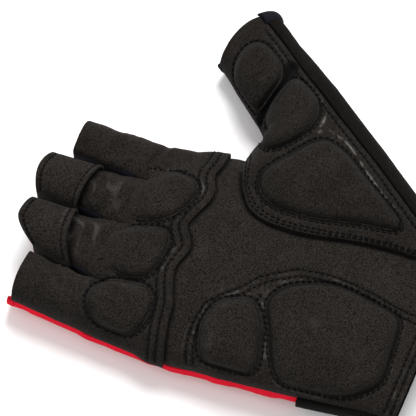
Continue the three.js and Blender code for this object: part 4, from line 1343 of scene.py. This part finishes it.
def pad(name, loop, skin, lift):
    """A foam pad: steep at its sewn edge, with a rounded shoulder and a soft crown."""
    count = len(loop)

    def ring_points(insets):
        u, v = np.moveaxis(lerp(loop[None], loop.mean(0), np.asarray(insets)[:, None, None]), -1, 0)
        normals = normal_of(skin, u, v)
        return skin(u, v) + normals * heights(lift, u, v)[..., None], normals, v

    insets = np.linspace(0, 1, PAD_RINGS + 1)[:-1] ** 1.5
    base, normals, along = ring_points(insets)
    flat = base.reshape(-1, 3)
    if name == BRIDGED:
        inward = np.broadcast_to(smoothstep(insets, 0.02, 0.3)[:, None], along.shape)
        base, normals = bridge(base, normals, inward)
    depth = PAD_EDGES[name].distance(flat, reach=40).reshape(along.shape)
    depth[0] = 0
    runout = smoothstep(along, RUNOUT.get(name, NEVER) - 0.02, RUNOUT.get(name, NEVER) + 0.04)
    shoulder = np.clip(depth / lerp(PAD_SHOULDER, 2.2 * PAD_SHOULDER, runout), 0, 1)
    rise = PAD_RISE * (1 - (1 - shoulder) ** 2.2) ** 0.8
    rise += PAD_CROWN * smoothstep(depth, 3, 14) - PAD_SINK
    stitches = round(count * OUTLINE_STEP / PITCH)
    holes = 1 + np.cos(2 * np.pi * stitches * np.arange(count) / count)
    rise -= 0.2 * holes * np.exp(-depth / 1.3) * (depth > 0) * (1 - runout)
    lumps = 0.25 * noise(flat, 9.0, 71) + 0.10 * noise(flat, 3.4, 72)
    rise += lumps.reshape(rise.shape) * smoothstep(depth, 0.3, 3)
    crease = bell(CREASE.distance(base.reshape(-1, 3)).reshape(rise.shape), CREASE_WIDTH)
    rise *= 1 - CREASE_DEPTH * crease
    top = settle(base + normals * rise[..., None])
    inset, off = np.array(UNDERSIDE[::-1]).T
    below, below_normals, _ = ring_points(inset)
    bottom = below + below_normals * off[:, None, None]
    middles = [bottom[0].mean(0), top[-1].mean(0)]
    points = np.concatenate([bottom.reshape(-1, 3), top.reshape(-1, 3), middles])
    rings = np.arange((len(bottom) + len(top)) * count).reshape(-1, count)
    after = np.roll(rings, -1, axis=1)
    faces = np.stack([rings[:-1], after[:-1], after[1:], rings[1:]], axis=-1).reshape(-1, 4).tolist()
    low, high = len(points) - 2, len(points) - 1
    faces += [(low, int(b), int(a)) for a, b in zip(rings[0], after[0])]
    faces += [(high, int(a), int(b)) for a, b in zip(rings[-1], after[-1])]
    # painted shade: darker along the sewn edge, in the thumb's fold and over all of the thumb's pads,
    # with random tone mixed in
    shade = -0.8 * bell(depth, 0.8) * (1 - runout) + 0.15 * noise(flat, 7.0, 73).reshape(depth.shape)
    shade -= CREASE_SHADE * crease
    if name in THUMB_PADS:
        shade -= THUMB_PAINTED_SHADE
    tone = np.concatenate([np.zeros(bottom[..., 0].size), shade.ravel(), [0, 0]])
    made = mesh_object(name + "_foam", points, faces, PAD_SUEDE, tone)
    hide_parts(name)
    return made


# Stitches

STEPS = 12  # the steps of a row from one stitch to the next
STITCH_STEPS = (1, 3, 5, 8, 10)  # the five of them that a thread passes through
THREAD_HEIGHTS = np.array([-0.3, 0.08, 0.2, 0.08, -0.3])
THREAD_RADII = 0.33 * np.array([0.55, 0.9, 1, 0.9, 0.55])
THREAD_SLANT = 0.12
THREAD_START = 0.6  # above the skin, from where the nearest point of the cloth is looked for
HIDDEN_BY_CREASE = 2.7  # no stitch shows this close to the thumb's fold


def sew(name, cloth, line, pitch=PITCH, aside=0.0, seed=1):
    """A row of stitches along a line, each a short thread that dives into the cloth at both ends."""
    tree = BVHTree.FromObject(cloth, bpy.context.evaluated_depsgraph_get())
    side = np.cross(line.normals, tangents(line.points, line.closed))
    path = np.concatenate([line.points + side * aside, line.normals], axis=1)
    run = even(path, pitch / STEPS, line.closed)
    stations = np.arange(len(run) // STEPS)[:, None] * STEPS + STITCH_STEPS
    stations = stations[CREASE.distance(run[stations[:, 2], :3]) > HIDDEN_BY_CREASE]
    starts = run[stations, :3] + run[stations, 3:] * THREAD_START
    slants = np.random.default_rng(seed).uniform(-THREAD_SLANT, THREAD_SLANT, len(stations))
    nearest = [tree.find_nearest(Vector(to_row(start)))[:2] for start in starts.reshape(-1, 3)]
    hits, normals = np.array(nearest).transpose(1, 0, 2).reshape(2, *starts.shape)
    points = to_plan(hits) + normals * THREAD_HEIGHTS[:, None]
    along = unit(np.gradient(points, axis=1))
    across = unit(np.cross(along, normals))
    points += across * (slants[:, None] * np.linspace(-1, 1, len(STITCH_STEPS)))[..., None]
    up = np.cross(across, along)
    turn = np.linspace(0, 2 * np.pi, 6, endpoint=False)
    ring = np.cos(turn)[:, None] * across[:, :, None] + np.sin(turn)[:, None] * up[:, :, None]
    tubes = points[:, :, None] + ring * THREAD_RADII[:, None, None]
    index = np.arange(tubes[..., 0].size).reshape(tubes.shape[:3])
    after = np.roll(index, -1, axis=2)
    walls = np.stack([index[:, :-1], index[:, 1:], after[:, 1:], after[:, :-1]], axis=-1).reshape(-1, 4)
    caps = np.concatenate([index[:, 0], index[:, -1, ::-1]])
    faces = walls.tolist() + caps.tolist()
    return mesh_object(name, tubes.reshape(-1, 3), faces, THREAD, np.zeros(index.size))


# The glove

palm, knuckles, thumb = palm_panel(), knuckle_panel(), thumb_panel()
side_strip()
back_panel()
thumb_back_panel()
for left in (LITTLE, RING, MIDDLE):
    gusset(left, left + 1)
tabs = {finger: pull_tab(finger) for finger in (RING, MIDDLE)}
for finger in (LITTLE, RING, MIDDLE, INDEX):
    finger_hem_band(finger)
thumb_hem_band()
wrist_strap()
strap_closure()
for pad_name, (loop, skin, lift) in PADS.items():
    pad(pad_name, loop, skin, lift)

SEWN_ROWS = {
    "knuckle": (knuckles, LAP_SEAMS, 0),
    "thumb_lap": (thumb, THUMB_SEAMS, 10),
    "heel": (palm, HEEL_SEAMS, 20),
    "wrist": (palm, WRIST_SEAMS, 30),
    "thumb_wrist": (thumb, THUMB_WRIST_SEAMS, 40),
}
for name, (panel, rows, seed) in SEWN_ROWS.items():
    for number, row in enumerate(rows):
        sew(f"stitches_{name}_{number}", panel, row, seed=seed + number)
sew("stitches_dart", knuckles, DART_SEAM, FINE_PITCH, seed=50)
for number, aside in enumerate(TACK_ROWS):
    sew(f"stitches_tack_{number}", palm, TACK, FINE_PITCH, aside, seed=54 + number)
sew("stitches_strip", thumb, STRIP_SEAM, seed=51)
for finger, (tab, rows) in tabs.items():
    for number, row in enumerate(rows):
        sew(f"stitches_tab_{FINGER_NAMES[finger]}_{number}", tab, row, FINE_PITCH, seed=60 + number)
for pad_name, seam in PAD_SEAMS.items():
    panel = thumb if pad_name in THUMB_PADS else knuckles if on_knuckles(pad_name) else palm
    sew("stitches_" + pad_name, panel, seam, aside=-PAD_ROW, seed=70)

# Floor, light and camera

AIM = Vector((-0.01088, 0.01716, 0.014))  # what the middle of the photograph shows
AZIMUTH, ELEVATION = np.radians(-66), np.radians(68)
DISTANCE = 0.9
FIELD = 0.1664  # the width of the photograph at the aim
LEVEL = np.cos(ELEVATION)
BACK = Vector((np.sin(AZIMUTH) * LEVEL, -np.cos(AZIMUTH) * LEVEL, np.sin(ELEVATION)))
RIGHT = Vector((np.cos(AZIMUTH), np.sin(AZIMUTH), 0))
UP = BACK.cross(RIGHT)
LEVEL_UP = Vector((UP.x, UP.y, 0)).normalized()
LIGHT_HEIGHT = Vector((0, 0, 0.8))
SKY = 0.68  # how bright the white surroundings are


def floor():
    size = 3.0
    corners = [(-size, -size, 0), (size, -size, 0), (size, size, 0), (-size, size, 0)]
    mesh = bpy.data.meshes.new("floor")
    mesh.from_pydata(corners, [], [(0, 1, 2, 3)])
    n = Nodes("pale_floor")
    color = n.mix(n.noise(6), (0.86, 0.86, 0.86), (0.9, 0.9, 0.9))
    normal = n.bump(n.noise(900), 0.00002, 0.2)
    mesh.materials.append(n.finish(color, normal, 0.7, 0.2))
    made = linked("floor", mesh)


def area_light(name, place, size, power):
    data = bpy.data.lights.new(name, "AREA")
    data.shape = "DISK"
    data.size = size
    data.energy = power
    made = linked(name, data)
    made.location = place
    made.rotation_euler = (AIM - place).to_track_quat("-Z", "Y").to_euler()


def camera():
    data = bpy.data.cameras.new("camera")
    data.sensor_width = 36
    data.lens = data.sensor_width * DISTANCE / FIELD
    data.clip_start = 0.05
    made = linked("camera", data)
    made.location = AIM + BACK * DISTANCE
    made.rotation_euler = BACK.to_track_quat("Z", "Y").to_euler()
    bpy.context.scene.camera = made


floor()
area_light("key", AIM + LEVEL_UP * 0.5 + RIGHT * 0.12 + LIGHT_HEIGHT, size=0.5, power=11)
area_light("fill", AIM - RIGHT * 0.7 - LEVEL_UP * 0.2 + LIGHT_HEIGHT, size=0.9, power=3)
world = bpy.data.worlds.new("studio")
world.use_nodes = True
world.node_tree.nodes["Background"].inputs["Color"].default_value = (1, 1, 1, 1)
world.node_tree.nodes["Background"].inputs["Strength"].default_value = SKY
bpy.context.scene.world = world
bpy.context.scene.view_settings.view_transform = "Standard"
camera()
